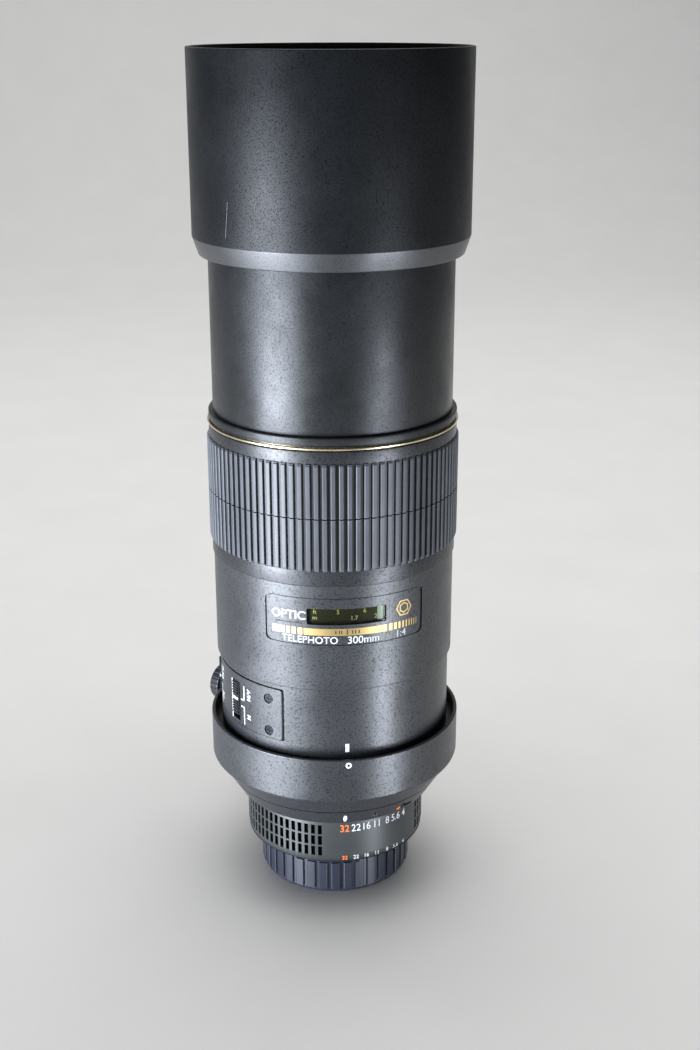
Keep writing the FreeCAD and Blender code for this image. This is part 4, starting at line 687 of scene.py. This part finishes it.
def make_name_plate_marks():
    """Gold stripe broken into bars at its ends, and plain lettering."""
    face = 41.175
    stripe_low, stripe_high = 106.4, 108.8
    middle, depth = (stripe_low + stripe_high) / 2, stripe_high - stripe_low
    per_degree = math.radians(face)
    line("stripe_middle", 38.6 * per_degree, depth, -0.6, middle, face, material=GOLD_PRINT)
    left_bars = ((-21.6, 2.2), (-24.6, 2.0), (-27.3, 1.6), (-29.6, 1.2), (-32.8, 4.6))
    right_bars = ((20.7, 1.7), (23.2, 1.4), (25.4, 1.1), (27.4, 0.9), (29.2, 0.75), (30.9, 0.6),
                  (32.4, 0.5), (33.8, 0.4), (35.1, 0.35))
    for index, (azimuth, width) in enumerate(left_bars + right_bars):
        line(f"stripe_bar_{index}", width * per_degree, depth, azimuth, middle, face, material=GOLD_PRINT)
    for index, azimuth in enumerate((-5.2, -3.6, -2.6, 0.0, 2.4, 3.8, 5.4)):
        height = 1.9 if azimuth == 0 else 1.2
        line(f"depth_mark_{index}", 0.35, height, azimuth, middle, face + PRINT_DEPTH, material=GROOVE)
    row, word_azimuth, word_up = 104.75, -27.2, 113.1
    rows = (("kind", "TELEPHOTO", 2.45, 0.01, -17.4, row), ("length", "300mm", 2.6, 0.015, 7.6, row),
            ("ratio", "1:4", 2.5, 0.01, 26.6, row), ("word", "OPTIC", 3.0, 0.045, word_azimuth, word_up))
    for name, words, size, boldness, azimuth, height in rows:
        letters = text_mesh(words, size, boldness=boldness)
        wrap(f"plate_{name}", letters, azimuth, height, face, "barrel", WHITE_PRINT)
    line("plate_word_rule", 9.5, 0.25, word_azimuth, 110.4, face, material=GROOVE)
    outer, inner, shrink = 3.1, 2.6, 1.15
    for index, spin in enumerate((0, 30)):
        hexagon = ring_plate(outer - index * shrink, inner - index * shrink, count=6)
        wrap(f"plate_hexagon_{index}", hexagon, 27.8, 113.4, face, "barrel", GOLD_PRINT, spin=spin)


def make_distance_marks():
    """Distances on the drum, feet above and metres below, nearest on the left, and a pale blue patch at the
    right end of the window that is a painted reflection of the second lamp.
    """
    drum, digits = Ring("distance_drum").outer, 1.5
    unit_azimuth, far_azimuth, per_dioptre = -15.0, 72.0, 116.0
    feet, metres = 114.2, 111.9
    foot = 0.3048
    rows = (("feet", "ft", feet, foot, YELLOW_PRINT, (5, 6, 7, 8, 10, 15, 25, 50, 150)),
            ("metres", "m", metres, 1.0, SCALE_WHITE, (1.7, 2, 2.5, 3, 5, 10, 30)))
    for row, unit, up, length, fill, values in rows:
        wrap(f"drum_unit_{row}", text_mesh(unit, digits), unit_azimuth, up, drum, "distance_scale", fill)
        for value in values:
            azimuth = far_azimuth - per_dioptre / (value * length)
            key = str(value).replace(".", "_")
            number = text_mesh(f"{value:g}", digits)
            wrap(f"drum_{row}_{key}", number, azimuth, up, drum, "distance_scale", fill)
    # painted reflection: a pale blue patch at the right end of the window, where the second lamp is
    # mirrored
    line("drum_painted_reflection_patch", 2.6, 5.0, 16.6, (feet + metres) / 2, drum, "distance_scale", WINDOW_REFLECTION_PAINT)


# ---------------------------------------------------------------- focus ring and front

GRIP_RIBS = 99


def make_focus_ring():
    """Metal ring with a rubber sleeve of flat ribs, parted by a thin groove half way."""
    ring, grip = Ring("focus_ring"), Ring("focus_grip")
    seat = grip.inner - 0.02
    band = ring.outer
    outline = [(ring.inner, ring.low, 0.2), (band, ring.low, 0.35), (band, grip.low, 0.2),
               (seat, grip.low, 0), (seat, grip.high, 0), (band, grip.high, 0.2), (band, ring.high, 0.35),
               (ring.inner, ring.high, 0.2)]
    lathe("focus_ring_body", softened(outline), "focus_ring", BAND_PAINT, replaces=("focus_ring",))
    valley = grip.outer - 0.85
    shares = (0.0, 0.07, 0.12, 0.32, 0.52, 0.57, 0.64, 0.82)
    reach = (valley, grip.outer - 0.12, grip.outer - 0.02, grip.outer, grip.outer - 0.02,
             grip.outer - 0.12, valley, valley)
    parting = 146.5

    def relief(azimuth, height, radius):
        if radius < valley - 0.01:
            return radius
        top = reach[share_at(azimuth, GRIP_RIBS, shares)]
        end = min(height - grip.low, grip.high - height)
        if end < 0.5:
            top = min(top, grip.outer - 0.3)
        if abs(height - parting) < 0.12:
            top = min(top, valley) - 0.25
        return top

    levels = [grip.low + 0.01, grip.low + 0.15, grip.low + 0.55, 135, 141, parting - 0.22, parting - 0.1,
              parting + 0.1, parting + 0.22, 152, 158, grip.high - 0.55, grip.high - 0.15, grip.high - 0.01]
    side = [(grip.outer, level) for level in levels]
    outline = [(grip.inner, grip.low)] + side + [(grip.inner, grip.high)]
    lathe("focus_grip_rubber", outline, "focus_ring", RUBBER, azimuths=ribbed_turn(GRIP_RIBS, shares),
          relief=relief, replaces=("focus_grip",), sharp=24)


def make_front_rings():
    """Gold ring with a raised band, and the trim ring above it with a step."""
    gold = Ring("gold_ring")
    face_low, face_high = gold.low + 0.3, gold.high - 0.2
    inset = gold.outer - 1.2
    outline = [(gold.inner, gold.low, 0.1), (inset, gold.low, 0), (inset, face_low, 0),
               (gold.outer, face_low, 0.25), (gold.outer, face_high, 0.25), (inset, face_high, 0),
               (inset, gold.high, 0), (gold.inner, gold.high, 0.1)]
    lathe("gold_ring_body", softened(outline, 6), "barrel", GOLD, replaces=("gold_ring",))
    trim = Ring("front_trim_ring")
    seat, ledge = 39.02, 170.52
    foot, step = trim.outer - 0.6, trim.low + 0.65
    outline = [(seat, trim.low, 0), (foot, trim.low, 0), (foot, step, 0), (trim.outer, step, 0.15),
               (trim.outer, trim.high, 0.5), (trim.inner, trim.high, 0), (trim.inner, ledge, 0),
               (seat, ledge, 0)]
    lathe("front_trim_ring_body", softened(outline), "barrel", TUBE_PAINT, replaces=("front_trim_ring",))


def make_front_barrel():
    """Smooth front tube with the filter thread cut inside its front edge."""
    tube = Ring("front_barrel")
    spigot, shoulder, bore = 36.28, 173.02, 37.7
    thread_low, pitch = 228.5, 0.75
    crest, root = 38.13, 38.42
    outline = softened([(tube.inner, tube.low, 0), (spigot, tube.low, 0), (spigot, shoulder, 0),
                        (tube.outer, shoulder, 0.1), (tube.outer, tube.high, 0.35),
                        (root + 0.03, tube.high, 0.1)])
    height = tube.high - 0.2
    while height > thread_low + pitch:
        outline += [(root, height), (crest, height - pitch / 2)]
        height -= pitch
    outline += [(crest, thread_low), (bore, thread_low), (bore, 178.0), (tube.inner, 176.0)]
    lathe("front_barrel_body", outline, "barrel", TUBE_PAINT, replaces=("front_barrel",))


def make_hood():
    """Sliding hood with a chamfered lower collar and one scratch; the outside of the collar and the rim get
    a shinier paint, lighter in colour as a painted reflection.
    """
    hood = Ring("hood_shell")
    bottom, shoulder, bore = 43.05, 230.1, 43.7
    shelf = shoulder + 0.3
    felt, felt_low, felt_high = 42.0, hood.low + 0.7, hood.low + 5.3
    outline = [(hood.inner, hood.low, 0.15), (bottom, hood.low, 0.35), (hood.outer, shoulder, 0.3),
               (hood.outer, hood.high, 0.5), (bore + 0.3, hood.high, 0.2), (bore, hood.high - 1.6, 0),
               (bore, shelf, 0), (hood.inner, shelf, 0), (hood.inner, felt_high, 0),
               (felt, felt_high, 0), (felt, felt_low, 0), (hood.inner, felt_low, 0)]
    shell = lathe("hood_shell_body", softened(outline), "hood", HOOD_PAINT, replaces=("hood_shell",))
    shell.data.materials.append(HOOD_REFLECTION_PAINT)
    # the collar's outside and the rim take the second paint, whose lighter colour is a painted reflection
    rim, outside = hood.high - 0.35, 42.5
    for face in shell.data.polygons:
        height, reach = face.center.z / MM, math.hypot(face.center.x, face.center.y) / MM
        if (hood.low < height < shoulder and reach > outside) or height > rim:
            face.material_index = 1
    scratch = prism(rectangle(0.16, 11.0), depth=0.01)
    wrap("hood_scratch", scratch, -50.5, 238.5, hood.outer, "hood", WORN_LINE, spin=-7)


# ---------------------------------------------------------------- materials of the designed pieces

NODE_LOOKS = {
    BARREL_PAINT: ("main_barrel", "upper_barrel", "name_plate", "switch_panel", "tripod_collar",
                   "tail_barrel"),
    DRUM_PAINT: ("distance_drum",),
    MATT_BLACK: ("front_cell", "front_retaining_ring", "rear_cell", "rear_retaining_ring", "focus_cell",
                 "inner_barrel", "iris_housing", "hood_stop_ring"),
    BLACK_PLASTIC: ("collar_lock_knob", "focus_mode_switch", "focus_limit_switch", "aperture_lock_lever",
                    "contact_block"),
    BRIGHT_STEEL: ("mount_flange", "mount_screws", "collar_lock_screw", "aperture_lever",
                   "tripod_thread_insert", "motor_spring_ring"),
    DARK_STEEL: ("switch_panel_screws", "tail_screws", "motor_rotor", "motor_stator") + tuple(
        f"iris_blade_{index}" for index in range(1, 10)),
    BRASS: ("cam_ring", "cam_follower_pins", "iris_drive_ring"),
    GOLD: ("contact_pins",),
    BOARD: ("circuit_board",),
    FELT: ("hood_felt",),
    LENS_GLASS: ("front_element", "front_doublet", "focus_front_doublet", "focus_rear_doublet",
                 "rear_doublet", "rear_element"),
    WINDOW_PLASTIC: ("scale_window",),
}


def paint_nodes():
    """Give the nodes that keep their own mesh their materials."""
    for material, nodes in NODE_LOOKS.items():
        for node in nodes:
            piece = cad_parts[node]
            for slot in piece.material_slots:
                slot.material = material


# ---------------------------------------------------------------- floor, lights and camera

def make_floor():
    """Pale table top that curves up far behind the lens."""
    front, depth, rise, top, reach = -2.5, 1.1, 0.8, 3.2, 3.0
    data = bmesh.new()
    steps = 14
    profile = [(front, 0.0)]
    for step in range(steps + 1):
        turn = math.pi / 2 * step / steps
        profile.append((depth + rise * math.sin(turn), rise * (1 - math.cos(turn))))
    profile.append((depth + rise, top))
    rows = [[data.verts.new((side, depth_at, up)) for side in (-reach, reach)] for depth_at, up in profile]
    for low, high in zip(rows, rows[1:]):
        data.faces.new((low[0], low[1], high[1], high[0]))
    mesh = bpy.data.meshes.new("floor")
    data.to_mesh(mesh)
    data.free()
    mesh.shade_smooth()
    material, tree, shader = tree_of("floor")
    mottle = noise(tree, place_of(tree), 0.02, 4.0, 0.6)
    tone = blend_colors(tree, mottle, rgba((0.70, 0.70, 0.69)), rgba((0.76, 0.76, 0.75)))
    put(tree, shader.inputs["Base Color"], tone)
    put(tree, shader.inputs["Roughness"], spread(tree, mottle, 0.3, 0.7, 0.55, 0.7))
    mesh.materials.append(material)
    floor = bpy.data.objects.new("floor", mesh)
    bpy.context.scene.collection.objects.link(floor)
    return floor


def set_of(name, pieces):
    """A collection that a light can be kept to."""
    chosen = bpy.data.collections.new(name)
    for piece in pieces:
        chosen.objects.link(piece)
    return chosen


def add_light(name, size, power, spot, target, color=(1, 1, 1), lit=None, shading=None):
    """An area light, kept to the pieces in lit and shaded only by those in shading when given."""
    light = bpy.data.lights.new(name, "AREA")
    light.shape = "RECTANGLE"
    light.size, light.size_y = size
    light.energy = power
    light.color = color
    lamp = bpy.data.objects.new(name, light)
    lamp.location = spot
    lamp.rotation_euler = (Vector(target) - Vector(spot)).to_track_quat("-Z", "Y").to_euler()
    bpy.context.scene.collection.objects.link(lamp)
    lamp.light_linking.receiver_collection = lit
    lamp.light_linking.blocker_collection = shading


def beside(azimuth, reach, height):
    """A place beside the lens, in metres."""
    angle = math.radians(azimuth)
    return reach * math.sin(angle), -reach * math.cos(angle), height


def make_lights(floor):
    """Two low soft boxes that draw the streaks down the barrel, and wide ones overhead."""
    meshes = [piece for piece in bpy.context.scene.objects if piece.type == "MESH"]
    lens = set_of("lens_pieces", [piece for piece in meshes if piece != floor])
    table = set_of("table", [floor])
    aim = (0, 0, 0.05)
    cool = (0.81, 0.88, 1.0)
    add_light("key", (0.18, 0.40), 9.0, beside(-58, 0.42, 0.01), aim, cool, lens, lens)
    add_light("second", (0.05, 0.28), 2.4, beside(41, 0.46, -0.06), aim, cool, lens, lens)
    add_light("overhead", (1.6, 1.6), 10, (0.0, 0.3, 1.5), (0, 0.1, 0))
    add_light("wash", (2.0, 2.0), 24, (0.0, 0.3, 1.6), (0, 0.4, 0), lit=table)
    world = bpy.data.worlds.new("studio")
    world.use_nodes = True
    backdrop = world.node_tree.nodes["Background"]
    backdrop.inputs["Color"].default_value = rgba((0.85, 0.88, 0.92))
    backdrop.inputs["Strength"].default_value = 0.08
    bpy.context.scene.world = world
    bpy.context.scene.view_settings.view_transform = "Standard"


def make_camera():
    """Camera in front of the index side, looking down on the lens."""
    distance, height = 475.21, 297.78
    down, turned, rolled, around = (math.radians(value) for value in (19.447, 0.690, -0.114, -6.0))
    level = math.cos(down)
    forward = Vector((math.sin(turned) * level, math.cos(turned) * level, -math.sin(down)))
    right = Vector((math.cos(turned), -math.sin(turned), 0))
    above = right.cross(forward)
    across = math.cos(rolled) * right + math.sin(rolled) * above
    upward = -math.sin(rolled) * right + math.cos(rolled) * above
    axes = Matrix((across, upward, -forward)).transposed()
    spin = Matrix.Rotation(around, 3, "Z")
    data = bpy.data.cameras.new("camera")
    data.lens = 50
    data.sensor_width = 36
    data.clip_start = 0.01
    eye = bpy.data.objects.new("camera", data)
    eye.matrix_world = Matrix.LocRotScale(spin @ Vector((0, -distance, height)) * MM, spin @ axes, None)
    bpy.context.scene.collection.objects.link(eye)
    bpy.context.scene.camera = eye


make_rear_cap()
make_aperture_ring()
make_tail_marks()
make_collar_dot()
make_barrel_marks()
make_name_plate_marks()
make_distance_marks()
make_focus_ring()
make_front_rings()
make_front_barrel()
make_hood()
paint_nodes()
make_lights(make_floor())
make_camera()
